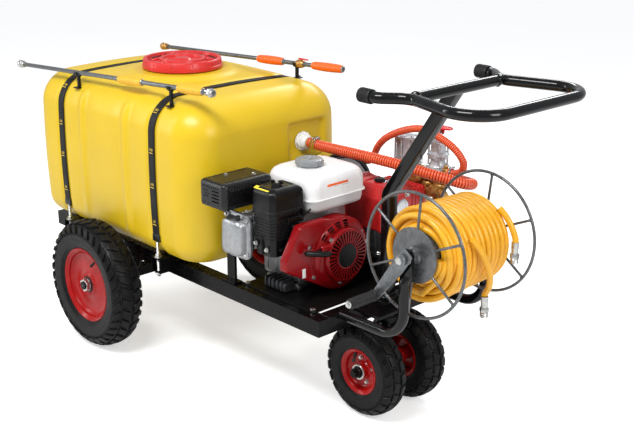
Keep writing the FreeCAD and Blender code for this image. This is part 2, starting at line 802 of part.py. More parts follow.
def belt_loop(shift, half_width):
    """Closed loop round both pulleys, shift outside the bottom of their grooves."""
    small = engine_pulley_radius - 11 + shift
    large = pump_pulley_radius - 11 + shift
    first = Vector(belt_x - half_width, crank_y, crank_z)
    second = Vector(belt_x - half_width, pump_y, pump_z)
    span = second - first
    reach = span.Length
    ahead = span.normalize()
    side = X.cross(ahead)
    lean = math.asin((large - small) / reach)
    def tangent(sign):
        return ahead * -math.sin(lean) + side * (sign * math.cos(lean))
    upper = tangent(1)
    lower = tangent(-1)
    edges = [Part.LineSegment(first + upper * small, second + upper * large).toShape(),
             Part.Arc(second + upper * large, second + ahead * large, second + lower * large).toShape(),
             Part.LineSegment(second + lower * large, first + lower * small).toShape(),
             Part.Arc(first + lower * small, first - ahead * small, first + upper * small).toShape()]
    return Part.Face(Part.Wire(edges)).extrude(X * (2 * half_width))


def drive_belt():
    return belt_loop(9.0, 3.3).cut(belt_loop(0.2, 3.3))


def belt_guard():
    """Sheet cover round the belt, open at the front around the pump pulley."""
    shell = belt_loop(27.0, 27.0)
    inner = belt_loop(25.0, 27.0)
    inner.translate(X * 2)
    body = shell.cut(inner)
    rim = belt_loop(27.0, 1.0).cut(belt_loop(2.0, 1.0))
    rim.translate(X * 26)
    body = fuse([body, rim])
    holes = [rod(Vector(belt_x - 40, crank_y, crank_z), Vector(belt_x - 20, crank_y, crank_z), 16),
             rod(Vector(belt_x - 40, pump_y, pump_z), Vector(belt_x - 20, pump_y, pump_z), 16)]
    body = body.cut(Part.makeCompound(holes))
    leg = box(belt_x + 25, belt_x + 27, 100, 130, deck_top, 350)
    foot = box(belt_x + 25, belt_x + 60, 100, 130, deck_top, deck_top + 3)
    return fuse([body, leg, foot])


# ---------------------------------------------------------------- pump
def pump_crankcase():
    main = box(pump_back_x, pump_front_x, pump_y - 72, pump_y + 48, pump_base, pump_top)
    main = rounded(main, 20, lambda edge: along(edge, X))
    nose = box(pump_back_x + 12, pump_front_x - 4, pump_y + 30, 285, 474, 550)
    cap = rod(Vector(718, 150, pump_top - 1), Vector(718, 150, pump_top + 10), 15)
    body = fuse([main, nose, cap])
    return body.cut(rod(Vector(pump_back_x - 2, pump_y, pump_z), Vector(pump_back_x + 62, pump_y, pump_z),
                        pulley_bore + RUN))


def pump_head():
    """Brass valve block with its manifold pipe, hose ends and outlet cocks."""
    block = box(642, 772, 285 + GAP, 318, 470, 560)
    manifold = box(650, 842, 282, 326, 561, 598)
    pieces = [block, box(650, 765, 290, 316, 555, 565), manifold]
    pieces.append(rod(Vector(842, head_y + 8, 583), Vector(888, head_y + 8, 583), 11))
    pieces.append(rod(Vector(846, head_y + 8, 583), Vector(860, head_y + 8, 583), 18))
    pieces.append(rod(Vector(650, head_y, 583), Vector(622, head_y, 583), 11))
    for x in (668, 708, 748):
        pieces.append(rod(Vector(x, 316, 515), Vector(x, 330, 515), 16))
    pieces.append(box(838, 850, 280, 296, 590, 614))
    pieces.append(rod(Vector(848, 287, 606), Vector(872, 287, 606), 5.5))
    pieces.append(rod(Vector(770, 302, 520), Vector(812, 302, 520), 10))
    pieces.append(rod(Vector(804, 302, 534), Vector(804, 302, 492), 11))
    return fuse(pieces)


def air_chamber():
    top = 692.0
    base = 598.0 + GAP
    foot = Vector(chamber_x, head_y + 4, base)
    body = rod(foot, Vector(foot.x, foot.y, top), chamber_radius)
    body = rounded(body, 12, lambda edge: edge.BoundBox.ZMin > top - 1e-3)
    flange = rod(foot, foot + Z * 8, chamber_radius + 6)
    return fuse([body, flange])


def regulator():
    foot = Vector(regulator_x, head_y + 4, 598.0 + GAP)
    body = rod(foot, Vector(foot.x, foot.y, 696), 30)
    flange = rod(foot, foot + Z * 10, 34)
    stem = rod(Vector(foot.x, foot.y, 690), Vector(foot.x, foot.y, regulator_pin_z + 7), 9)
    pin_hole = rod(Vector(foot.x, foot.y - 20, regulator_pin_z), Vector(foot.x, foot.y + 20, regulator_pin_z),
                   3 + RUN)
    return fuse([body, flange, stem]).cut(pin_hole)


def regulator_lever():
    """Cam lever: two cheeks on a pin through the stem, joined by a tail over the top."""
    centre = Vector(regulator_x, head_y + 4, regulator_pin_z)
    pieces = [rod(centre - Y * 12, centre + Y * 12, 3)]
    for side in (-1, 1):
        y = centre.y + side * 12
        pieces.append(box(regulator_x - 8, regulator_x + 8, y - 2, y + 2, regulator_pin_z - 8,
                          regulator_pin_z + 17))
    pieces.append(box(regulator_x - 8, regulator_x + 38, centre.y - 14, centre.y + 14,
                      regulator_pin_z + 13, regulator_pin_z + 19))
    return fuse(pieces)


# ---------------------------------------------------------------- hoses
def hollow_hose(points, outer, inner):
    path = spline(points)
    return sweep(path, outer).cut(sweep(path, inner))


def suction_points():
    return [Vector(tank_front_x + 24, outlet_y, outlet_z),
            Vector(tank_front_x + 90, outlet_y, outlet_z),
            Vector(640, outlet_y + 4, outlet_z + 2),
            Vector(780, outlet_y + 26, outlet_z - 4),
            Vector(880, outlet_y + 60, outlet_z - 20),
            Vector(945, 238, outlet_z - 44),
            Vector(935, 296, outlet_z - 60),
            Vector(892, head_y + 8, 583),
            Vector(866, head_y + 8, 583)]


def suction_hose():
    return hollow_hose(suction_points(), suction_radius, suction_bore)


def return_points():
    """From the tank's rounded front corner, past the belt guard and over to the cocks."""
    way = Vector(math.cos(math.radians(40)), math.sin(math.radians(40)), 0)
    skin = Vector(tank_front_x - tank_corner, tank_half_width - tank_corner, 558) + way * (tank_corner + 1)
    return [skin,
            skin + way * 28,
            Vector(470, 297, 560),
            Vector(507, 299, 566),
            Vector(545, 289, 578),
            Vector(578, 271, 604),
            Vector(606, 258, 638),
            Vector(640, 249, 668),
            Vector(680, 246, 692),
            Vector(727, 246, 712),
            Vector(784, 246, 725),
            Vector(840, 247, 716),
            Vector(898, 252, 691),
            Vector(926, 262, 656),
            Vector(914, 274, 624),
            Vector(882, 284, 608),
            Vector(856, 287, 606)]


def return_hose():
    return hollow_hose(return_points(), return_radius, return_bore)


def hose_clips():
    clips = []
    for x in (tank_front_x + 40, tank_front_x + 50):
        clips.append(ring(Vector(x, outlet_y, outlet_z), Vector(x + 6, outlet_y, outlet_z),
                          suction_radius + 2.6, suction_radius + 1.0))
    return group(clips)


# ---------------------------------------------------------------- reel
def flange(y):
    centre = Vector(reel_x, y, reel_z)
    rim = Part.makeTorus(reel_ring_radius, reel_rod_radius, centre, Y)
    disc = rod(centre - Y * 2, centre + Y * 2, 70)
    pieces = [rim, disc]
    for index in range(6):
        angle = math.radians(60 * index + 24)
        way = Vector(math.cos(angle), 0, math.sin(angle))
        pieces.append(rod(centre + way * 60, centre + way * reel_ring_radius, 4))
    body = fuse(pieces)
    for index in range(3):
        angle = math.radians(120 * index)
        spot = centre + Vector(math.cos(angle), 0, math.sin(angle)) * 38
        body = body.cut(rod(spot - Y * 6, spot + Y * 6, 9))
    return body


def reel_drum():
    pieces = [flange(-reel_flange_y), flange(reel_flange_y)]
    start = Vector(reel_x, -reel_flange_y, reel_z)
    end = Vector(reel_x, reel_flange_y, reel_z)
    pieces.append(ring(start, end, drum_radius, drum_radius - 2))
    pieces.append(rod(Vector(reel_x, -arm_y - 26, reel_z), Vector(reel_x, arm_y + 12, reel_z),
                      reel_shaft_radius))
    for side in (-1, 1):
        boss = Vector(reel_x, side * reel_flange_y, reel_z)
        pieces.append(rod(boss, boss + Y * (side * 18), 17))
    return fuse(pieces)


def wound_hose():
    """Coil of spray hose, with its two loose ends."""
    near_end = Vector(reel_x, -reel_flange_y + 11, reel_z)
    far_end = Vector(reel_x, reel_flange_y - 26, reel_z)
    coil = ring(near_end, far_end, hose_outer_radius,
                drum_radius + GAP)
    pieces = [coil]
    for ahead, across, up in tail_spots:
        end = Vector(reel_x + ahead, across, reel_z + up)
        inside = Vector(reel_x + ahead * 0.8, across, reel_z + up * 0.75)
        pieces.append(rod(end, inside, 8))
    return fuse(pieces)


def hose_couplings():
    """Threaded end fittings of the spray hose."""
    fittings = []
    for ahead, across, up in tail_spots:
        top = Vector(reel_x + ahead, across, reel_z + up - 14)
        fittings.append(fuse([rod(top, top - Z * 34, 8), hexagon(top - Z * 50, Z, 22, 18)]))
    return group(fittings)


def crank_way():
    return Vector(math.cos(crank_angle), 0, math.sin(crank_angle))


def crank_arm():
    way = crank_way()
    y = -arm_y - 16
    hub = Vector(reel_x, y, reel_z)
    across = Y.cross(way)
    end = hub + way * crank_length
    blade = polygon([hub + across * 19, hub - across * 19, end - across * 13, end + across * 13], Y * -5)
    eye = rod(hub, hub - Y * 10, 19)
    tip = rod(end, end - Y * 5, 13)
    pin = rod(end, end - Y * 100, 5)
    head = rod(end - Y * 96, end - Y * 100, 9)
    body = fuse([blade, eye, tip, pin, head])
    return body.cut(rod(hub + Y * 5, hub - Y * 15, reel_shaft_radius))


def crank_grip():
    way = crank_way()
    end = Vector(reel_x, -arm_y - 16, reel_z) + way * crank_length
    grip = rod(end - Y * 6, end - Y * 95, 13.5)
    return grip.cut(rod(end, end - Y * 96, 5 + RUN))


# ---------------------------------------------------------------- steering
def steering_post():
    base = bearing_top + 0.5
    knee = Vector(steer_x, 0, knee_z)
    top = Vector(handle_waist_x, 0, handle_z)
    half = post_size / 2
    upright = box(steer_x - half, steer_x + half, -half, half, base, knee.z + 10)
    lean = (top - knee).normalize()
    across = Y.cross(lean)
    start = knee
    bar = polygon([start + across * half - Y * half, start - across * half - Y * half,
                   start - across * half + Y * half, start + across * half + Y * half],
                  lean * ((top - knee).Length))
    elbow = rod(Vector(steer_x, -half, knee.z), Vector(steer_x, half, knee.z), half)
    pieces = [upright.cut(box(steer_x - 60, steer_x + 60, -60, 60, knee.z, knee.z + 30)), bar, elbow]
    disc = rod(Vector(steer_x, 0, base), Vector(steer_x, 0, base + 6), 36)
    pieces.append(disc)
    pieces.append(handle_loop())
    return fuse(pieces)


def handle_loop():
    z = handle_z
    rear = handle_grip_x
    loops = []
    path = bend_path([Vector(rear, -handle_grip_y, z),
                      Vector(rear + 52, -handle_grip_y, z),
                      Vector(handle_waist_x, -handle_waist_y, z),
                      Vector(handle_front_x, -handle_front_y, z),
                      Vector(handle_front_x, 0, z)], handle_bends)
    side = sweep(path, handle_radius)
    loops.append(side)
    loops.append(mirror_y(side))
    waist = Vector(handle_waist_x + 4, 0, z)
    loops.append(rod(waist - Y * handle_waist_y, waist + Y * handle_waist_y, handle_radius))
    return fuse(loops)


def handle_grips():
    grips = []
    for side in (-1, 1):
        start = Vector(handle_grip_x - 5, side * handle_grip_y, handle_z)
        grip = rod(start, start + X * 38, handle_radius + 4)
        grip = grip.cut(rod(start + X * 5, start + X * 60, handle_radius))
        grips.append(grip)
    return group(grips)


def front_axle():
    """Upright spindle, its thrust collar and the cross axle of the two front wheels."""
    top = bearing_top + 0.5 - GAP
    spindle = rod(Vector(steer_x, 0, front_radius), Vector(steer_x, 0, top), spindle_radius)
    collar = rod(Vector(steer_x, 0, bearing_bottom - 12.5), Vector(steer_x, 0, bearing_bottom - 0.5), 30)
    inner = front_centre_y - front_width / 2 - 5
    hub = rod(Vector(steer_x, -inner, front_radius), Vector(steer_x, inner, front_radius), 17)
    end = front_centre_y + 52
    axle = rod(Vector(steer_x, -end, front_radius), Vector(steer_x, end, front_radius), front_axle_radius)
    pieces = [spindle, collar, hub, axle]
    for side in (-1, 1):
        nut = Vector(steer_x, side * (front_centre_y + 33), front_radius)
        pieces.append(hexagon(nut, Y * side, 28, 10))
    return fuse(pieces)


# ---------------------------------------------------------------- wheels
def tyre(centre, radius, width, bead_radius):
    """Hollow tyre: a rounded casing open towards the rim."""
    half = width / 2
    bead = width * bead_share

    def spot(across, out):
        return centre + Y * across + Z * out

    foot = bead_radius + 8
    belly = (radius + bead_radius) / 2
    shoulder = half * 0.82
    outer = Part.Wire([
        Part.LineSegment(spot(-bead, bead_radius), spot(-bead, foot)).toShape(),
        Part.Arc(spot(-bead, foot), spot(-half, belly), spot(-shoulder, radius - 10)).toShape(),
        Part.Arc(spot(-shoulder, radius - 10), spot(0, radius), spot(shoulder, radius - 10)).toShape(),
        Part.Arc(spot(shoulder, radius - 10), spot(half, belly), spot(bead, foot)).toShape(),
        Part.LineSegment(spot(bead, foot), spot(bead, bead_radius)).toShape(),
        Part.LineSegment(spot(bead, bead_radius), spot(-bead, bead_radius)).toShape()])
    casing = Part.Face(outer).revolve(centre, Y, 360)
    wall = 8.0
    room = turned([(-bead + wall, bead_radius - 1), (-half + wall * 1.6, bead_radius + 22),
                   (-half + wall * 2, radius - wall * 2.4), (half - wall * 2, radius - wall * 2.4),
                   (half - wall * 1.6, bead_radius + 22), (bead - wall, bead_radius - 1)], centre, Y, Z)
    return casing.cut(room)


def rim(centre, rim_radius, width, hub_radius, bore_radius, hub_half, side):
    """Pressed rim with a plain disc and a bored hub. The side sign gives the outer face."""
    bead = width * bead_share
    seat = rim_radius - rim_flange
    barrel = turned([(-bead - 6, rim_radius), (-bead - 3, rim_radius), (-bead - 3, seat), (bead + 3, seat),
                     (bead + 3, rim_radius), (bead + 6, rim_radius), (bead + 6, seat - rim_sheet),
                     (-bead - 6, seat - rim_sheet)], centre, Y, Z)
    face = side * bead * 0.35
    disc = rod(centre + Y * (face - rim_disc_half), centre + Y * (face + rim_disc_half), seat - 2)
    hub = rod(centre - Y * hub_half, centre + Y * hub_half, hub_radius)
    body = fuse([barrel, disc, hub])
    return body.cut(rod(centre - Y * 80, centre + Y * 80, bore_radius + RUN))


def wheel_parts():
    nodes = {}
    for name, side in (("near", -1), ("far", 1)):
        rear = Vector(0, side * rear_centre_y, rear_radius)
        nodes["rear_tyre_" + name] = tyre(rear, rear_radius, rear_width, rear_rim_radius - rim_flange + GAP)
        nodes["rear_rim_" + name] = rim(rear, rear_rim_radius, rear_width, rear_hub_radius,
                                        rear_axle_radius, rear_hub_half, side)
        front = Vector(steer_x, side * front_centre_y, front_radius)
        nodes["front_tyre_" + name] = tyre(front, front_radius, front_width, front_rim_radius - rim_flange + GAP)
        nodes["front_rim_" + name] = rim(front, front_rim_radius, front_width, front_hub_radius,
                                         front_axle_radius, front_hub_half, side)
    return nodes


# ---------------------------------------------------------------- all nodes
def build():
    nodes = {
        "frame": frame(),
        "deck_plate": deck_plate(),
        "rear_axle": rear_axle(),
        "tank_stops": tank_stops(),
        "chassis_bolts": chassis_bolts(),
        "reel_arm_near": reel_arm(),
        "reel_arm_far": mirror_y(reel_arm()),
        "tank": tank(),
        "outlet_fitting": outlet_fitting(),
        "tank_straps": tank_straps(),
        "strap_bolts": strap_bolts(),
        "lance_hooks": lance_hooks(),
        "lid_gasket": lid_gasket(),
        "tank_lid": tank_lid(),
        "lance_near": lance(lance_near_front, lance_near_rear, lance_near_grip),
        "lance_far": lance(lance_far_front, lance_far_rear, lance_far_grip),
        "engine_block": engine_block(),
        "valve_cover": valve_cover(),
        "crankshaft": crankshaft(),
        "flywheel": flywheel(),
        "fan_shroud": fan_shroud(),
        "recoil_cover": recoil_cover(),
        "recoil_handle": recoil_handle(),
        "fuel_tank": fuel_tank(),
        "fuel_cap": fuel_cap(),
        "air_cleaner_case": air_cleaner_case(),
        "air_cleaner_cover": air_cleaner_cover(),
        "muffler": muffler(),
        "muffler_guard": muffler_guard(),
        "carburettor": carburettor(),
        "throttle_lever": control_lever(throttle_pivot[0], throttle_pivot[1], 32),
        "choke_lever": control_lever(choke_pivot[0], choke_pivot[1], 36),
        "engine_pulley": engine_pulley(),
        "pump_pulley": pump_pulley(),
        "drive_belt": drive_belt(),
        "belt_guard": belt_guard(),
        "pump_crankcase": pump_crankcase(),
        "pump_head": pump_head(),
        "air_chamber": air_chamber(),
        "regulator": regulator(),
        "regulator_lever": regulator_lever(),
        "suction_hose": suction_hose(),
        "return_hose": return_hose(),
        "hose_clips": hose_clips(),
        "reel_drum": reel_drum(),
        "wound_hose": wound_hose(),
        "hose_couplings": hose_couplings(),
        "crank_arm": crank_arm(),
        "crank_grip": crank_grip(),
        "steering_post": steering_post(),
        "handle_grips": handle_grips(),
        "front_axle": front_axle(),
    }
    nodes.update(wheel_parts())
    return nodes


def main():
    os.makedirs("parts", exist_ok=True)
    for name, shape in build().items():
        shape.exportStep("parts/" + name + ".step")


main()
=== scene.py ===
import math
import random

import bmesh
import bpy
import numpy as np
from mathutils import Matrix, Vector


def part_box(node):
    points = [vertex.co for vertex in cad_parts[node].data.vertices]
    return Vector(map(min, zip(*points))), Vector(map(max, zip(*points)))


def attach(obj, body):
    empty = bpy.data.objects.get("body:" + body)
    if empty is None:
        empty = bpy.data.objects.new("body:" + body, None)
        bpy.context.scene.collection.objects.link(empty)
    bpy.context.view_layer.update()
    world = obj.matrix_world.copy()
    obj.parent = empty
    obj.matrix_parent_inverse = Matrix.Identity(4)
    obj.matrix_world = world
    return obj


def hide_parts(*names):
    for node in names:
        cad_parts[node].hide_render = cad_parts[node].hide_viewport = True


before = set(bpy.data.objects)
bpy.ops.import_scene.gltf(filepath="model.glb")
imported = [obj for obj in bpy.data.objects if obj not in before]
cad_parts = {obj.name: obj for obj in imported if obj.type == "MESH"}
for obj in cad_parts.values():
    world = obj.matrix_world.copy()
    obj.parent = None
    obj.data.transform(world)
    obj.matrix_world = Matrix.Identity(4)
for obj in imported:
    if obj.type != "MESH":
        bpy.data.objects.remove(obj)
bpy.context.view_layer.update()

# The looks of the wheeled sprayer cart. Lengths are millimetres until a mesh is made.
# +X runs forward to the pull handle, +Y to the far side, +Z up. "near" is the -Y side.

random.seed(7)
MM = 0.001


# ---------------------------------------------------------------- vectors
def vec(x, y, z):
    return np.array((x, y, z), float)


X = vec(1, 0, 0)
Y = vec(0, 1, 0)
Z = vec(0, 0, 1)


def unit(direction):
    return direction / np.linalg.norm(direction)


def across(axis):
    """Two unit vectors at right angles to axis and to each other."""
    axis = unit(axis)
    helper = Z if abs(axis[2]) < 0.9 else X
    first = unit(np.cross(helper, axis))
    return first, np.cross(axis, first)


def limits(node):
    """Lowest corner, highest corner and middle of a CAD node, in millimetres."""
    low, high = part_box(node)
    low = np.array(low) / MM
    high = np.array(high) / MM
    return low, high, (low + high) / 2


def smooth_step(low, high, value):
    share = np.clip((value - low) / (high - low), 0, 1)
    return share * share * (3 - 2 * share)


# ---------------------------------------------------------------- shapes
class Shape:
    """Points and faces of one piece. Each face names one of the piece's materials."""

    def __init__(self):
        self.points = []
        self.faces = []
        self.paint = []
        self.count = 0

    def add(self, points, faces, paint=0):
        points = np.asarray(points, float).reshape(-1, 3)
        self.points.append(points)
        self.faces += [tuple(index + self.count for index in face) for face in faces]
        self.paint += [paint] * len(faces)
        self.count += len(points)
        return self

    def grid(self, rows, wrap=False, loop=False, caps=False, paint=0):
        """Quads over a table of points. wrap closes each row, loop joins the last row to the first."""
        rows = np.asarray(rows, float)
        deep, wide = rows.shape[:2]
        faces = []
        for i in range(deep if loop else deep - 1):
            below = i * wide
            above = (i + 1) % deep * wide
            for j in range(wide if wrap else wide - 1):
                k = (j + 1) % wide
                faces.append((below + j, below + k, above + k, above + j))
        if caps:
            faces.append(tuple(range(wide)))
            faces.append(tuple((deep - 1) * wide + j for j in range(wide)))
        return self.add(rows, faces, paint)

    def lathe(self, profile, origin, axis, sides=48, loop=False, paint=0):
        """Surface of revolution of (distance along axis, radius) points."""
        first, second = across(axis)
        axis = unit(axis)
        turn = np.linspace(0, 2 * math.pi, sides, endpoint=False)
        spokes = np.outer(np.cos(turn), first) + np.outer(np.sin(turn), second)
        rows = [origin + axis * along + spokes * max(radius, 0.0) for along, radius in profile]
        return self.grid(rows, wrap=True, loop=loop, paint=paint)

    def rod(self, start, end, radius, bevel=0.6, sides=32, paint=0):
        length = np.linalg.norm(end - start)
        bevel = min(bevel, radius * 0.5, length * 0.3)
        soft = bevel * 0.3
        profile = [(0, 0), (0, radius - bevel), (soft, radius - soft), (bevel, radius),
                   (length - bevel, radius), (length - soft, radius - soft),
                   (length, radius - bevel), (length, 0)]
        return self.lathe(profile, start, end - start, sides, paint=paint)

    def pipe(self, start, end, outer, inner, bevel=0.6, sides=32, paint=0):
        length = np.linalg.norm(end - start)
        profile = [(0, inner), (0, outer - bevel), (bevel, outer), (length - bevel, outer),
                   (length, outer - bevel), (length, inner)]
        return self.lathe(profile, start, end - start, sides, loop=True, paint=paint)

    def ring(self, origin, axis, radius, thick, sides=72, around=12, paint=0):
        turn = np.linspace(0, 2 * math.pi, around, endpoint=False)
        profile = [(thick * math.sin(a), radius + thick * math.cos(a)) for a in turn]
        return self.lathe(profile, origin, axis, sides, loop=True, paint=paint)

    def tube(self, path, radius, sides=20, loop=False, paint=0):
        """Round bar along a list of points. radius is a number or one number a point."""
        path = np.asarray(path, float)
        radii = np.broadcast_to(np.asarray(radius, float), (len(path),))
        ahead = np.roll(path, -1, axis=0) - path
        behind = path - np.roll(path, 1, axis=0)
        if not loop:
            ahead[-1] = behind[-1]
            behind[0] = ahead[0]
        headings = np.array([unit(unit(a) + unit(b)) for a, b in zip(ahead, behind)])
        side, _ = across(headings[0])
        turn = np.linspace(0, 2 * math.pi, sides, endpoint=False)
        rows = []
        for point, heading, size in zip(path, headings, radii):
            side = unit(side - heading * side.dot(heading))
            other = np.cross(heading, side)
            rows.append(point + size * (np.outer(np.cos(turn), side) + np.outer(np.sin(turn), other)))
        return self.grid(rows, wrap=True, loop=loop, caps=not loop, paint=paint)

    def prism(self, outline, origin, right, up, depth, bevel=0.0, steps=3, paint=0):
        """Solid from a flat outline, pushed depth along right x up, with softened end edges."""
        outline = np.asarray(outline, float)
        right = unit(right)
        up = unit(up)
        way = np.cross(right, up)
        inward = inset_normals(outline)
        stations = [(0.0, 0.0)] if bevel <= 0 else []
        for index in range(steps + 1 if bevel > 0 else 0):
            angle = math.pi / 2 * index / steps
            stations.append((bevel * (1 - math.sin(angle)), bevel * (1 - math.cos(angle))))
        stations = sorted(set((round(i, 6), round(d, 6)) for i, d in stations), key=lambda s: s[1])
        levels = [(inset, deep) for inset, deep in stations]
        levels += [(inset, depth - deep) for inset, deep in reversed(stations)]
        rows = []
        for inset, deep in levels:
            flat = outline + inward * inset
            rows.append(origin + np.outer(flat[:, 0], right) + np.outer(flat[:, 1], up) + way * deep)
        return self.grid(rows, wrap=True, caps=True, paint=paint)

    def box(self, low, high, bevel=1.0, corner=None, axis=2, paint=0):
        """Box with softened edges. corner is a larger radius for the edges along axis."""
        low = np.minimum(low, high) * 1.0
        high = np.maximum(low, high) * 1.0
        size = high - low
        right = (X, Y, Z)[(axis + 1) % 3]
        up = (X, Y, Z)[(axis + 2) % 3]
        wide = size[(axis + 1) % 3]
        tall = size[(axis + 2) % 3]
        bevel = min(bevel, size.min() * 0.45)
        radius = bevel if corner is None else corner
        middle = (low + high) / 2
        origin = middle - (X, Y, Z)[axis] * (size[axis] / 2)
        outline = rounded_rectangle(wide, tall, radius)
        return self.prism(outline, origin, right, up, size[axis], bevel, paint=paint)

    def hexagon(self, origin, axis, across_flats, height, paint=0):
        """Nut or bolt head with chamfered corners, standing on origin."""
        first, second = across(axis)
        axis = unit(axis)
        reach = across_flats / math.sqrt(3)
        turn = np.radians(np.arange(6) * 60)
        corners = np.outer(np.cos(turn), first) + np.outer(np.sin(turn), second)
        rows = [origin + corners * reach * 0.94, origin + axis * (height * 0.08) + corners * reach,
                origin + axis * (height * 0.86) + corners * reach,
                origin + axis * height + corners * reach * 0.88]
        return self.grid(rows, wrap=True, caps=True, paint=paint)

    def bolt(self, origin, axis, across_flats, paint=0):
        """Flange head bolt."""
        axis = unit(axis)
        self.rod(origin, origin + axis * (across_flats * 0.14), across_flats * 0.72, 0.4, paint=paint)
        return self.hexagon(origin + axis * (across_flats * 0.1), axis, across_flats, across_flats * 0.55,
                            paint)


def inset_normals(outline):
    """Directions into an outline that move each corner so its sides shift by one unit."""
    ahead = np.roll(outline, -1, axis=0) - outline
    behind = outline - np.roll(outline, 1, axis=0)
    ahead = ahead / np.maximum(np.linalg.norm(ahead, axis=1), 1e-9)[:, None]
    behind = behind / np.maximum(np.linalg.norm(behind, axis=1), 1e-9)[:, None]
    left = np.stack([-ahead[:, 1] - behind[:, 1], ahead[:, 0] + behind[:, 0]], axis=1)
    left = left / np.maximum(np.linalg.norm(left, axis=1), 1e-9)[:, None]
    side = np.stack([-ahead[:, 1], ahead[:, 0]], axis=1)
    reach = np.maximum((left * side).sum(axis=1), 0.3)
    area = 0.5 * np.sum(outline[:, 0] * np.roll(outline[:, 1], -1)
                        - np.roll(outline[:, 0], -1) * outline[:, 1])
    return left / reach[:, None] * (1 if area > 0 else -1)


def rounded_rectangle(wide, tall, radius, steps=6):
    radius = min(radius, wide / 2 - 1e-4, tall / 2 - 1e-4)
    points = []
    for quarter, (sx, sy) in enumerate(((1, 1), (-1, 1), (-1, -1), (1, -1))):
        for step in range(steps + 1):
            angle = math.pi / 2 * (quarter + step / steps)
            points.append((sx * (wide / 2 - radius) + radius * math.cos(angle),
                           sy * (tall / 2 - radius) + radius * math.sin(angle)))
    return points


def rounded_outline(corners, radius, steps=5):
    """Closed outline through the corners, each rounded to its radius."""
    corners = np.asarray(corners, float)
    radii = np.broadcast_to(np.asarray(radius, float), (len(corners),))
    points = []
    for index, corner in enumerate(corners):
        back = corners[index - 1] - corner
        ahead = corners[(index + 1) % len(corners)] - corner
        half = math.acos(np.clip(unit(back).dot(unit(ahead)), -1, 1)) / 2
        cut = min(radii[index] / math.tan(half), np.linalg.norm(back) * 0.49, np.linalg.norm(ahead) * 0.49)
        start = corner + unit(back) * cut
        end = corner + unit(ahead) * cut
        for step in range(steps + 1):
            share = step / steps
            points.append((1 - share) ** 2 * start + 2 * share * (1 - share) * corner + share ** 2 * end)
    return points


def bend(points, radius, steps=8):
    """Open path through the points with its corners rounded. radius is one number or one a corner."""
    points = [np.asarray(p, float) for p in points]
    radii = np.broadcast_to(np.asarray(radius, float), (len(points) - 2,))
    path = [points[0]]
    for before, corner, after, radius in zip(points, points[1:], points[2:], radii):
        back = unit(before - corner)
        ahead = unit(after - corner)
        half = math.acos(np.clip(back.dot(ahead), -1, 1)) / 2
        cut = radius / math.tan(half)
        centre = corner + unit(back + ahead) * (radius / math.sin(half))
        start = corner + back * cut - centre
        end = corner + ahead * cut - centre
        angle = math.acos(np.clip(unit(start).dot(unit(end)), -1, 1))
        for step in range(steps + 1):
            share = step / steps
            path.append(centre + (start * math.sin((1 - share) * angle) + end * math.sin(share * angle))
                        / math.sin(angle))
    path.append(points[-1])
    return path


def flow(points, spacing):
    """Evenly spaced points on a smooth curve through the given points."""
    points = np.asarray(points, float)
    ends = np.vstack([2 * points[0] - points[1], points, 2 * points[-1] - points[-2]])
    fine = []
    for a, b, c, d in zip(ends, ends[1:], ends[2:], ends[3:]):
        for t in np.linspace(0, 1, 24, endpoint=False):
            fine.append(0.5 * (2 * b + (c - a) * t + (2 * a - 5 * b + 4 * c - d) * t ** 2
                               + (3 * b - a - 3 * c + d) * t ** 3))
    fine = np.array(fine + [points[-1]])
    travel = np.concatenate([[0], np.cumsum(np.linalg.norm(np.diff(fine, axis=0), axis=1))])
    count = max(int(travel[-1] / spacing), 2)
    spots = np.linspace(0, travel[-1], count + 1)
    return np.stack([np.interp(spots, travel, fine[:, k]) for k in range(3)], axis=1)


def piece(name, shape, body, materials, stands_for=(), crease=38):
    """Makes the mesh object, rides it on its body and hides the CAD parts it stands for."""
    if not isinstance(materials, (list, tuple)):
        materials = [materials]
    mesh = bpy.data.meshes.new(name)
    mesh.from_pydata((np.concatenate(shape.points) * MM).tolist(), [], shape.faces)
    for surface in materials:
        mesh.materials.append(surface)
    mesh.polygons.foreach_set("material_index", shape.paint)
    work = bmesh.new()
    work.from_mesh(mesh)
    bmesh.ops.remove_doubles(work, verts=work.verts, dist=2e-6)
    bmesh.ops.dissolve_degenerate(work, edges=work.edges, dist=1e-7)
    bmesh.ops.recalc_face_normals(work, faces=work.faces)
    work.to_mesh(mesh)
    work.free()
    mesh.shade_smooth()
    mesh.set_sharp_from_angle(angle=math.radians(crease))
    thing = bpy.data.objects.new(name, mesh)
    bpy.context.scene.collection.objects.link(thing)
    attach(thing, body)
    if stands_for:
        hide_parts(*stands_for)
    return thing


# ---------------------------------------------------------------- materials
def noise(nodes, links, source, size_mm, detail=3.0, rough=0.5):
    node = nodes.new("ShaderNodeTexNoise")
    node.inputs["Scale"].default_value = 1000.0 / size_mm
    node.inputs["Detail"].default_value = detail
    node.inputs["Roughness"].default_value = rough
    links.new(source, node.inputs["Vector"])
    return node.outputs["Fac"]


def spread(nodes, links, source, low, high):
    """Stretches a noise value, which sits near 0.5, to the range low to high."""
    node = nodes.new("ShaderNodeMapRange")
    node.inputs["From Min"].default_value = 0.3
    node.inputs["From Max"].default_value = 0.7
    node.inputs["To Min"].default_value = low
    node.inputs["To Max"].default_value = high
    links.new(source, node.inputs["Value"])
    return node.outputs["Result"]


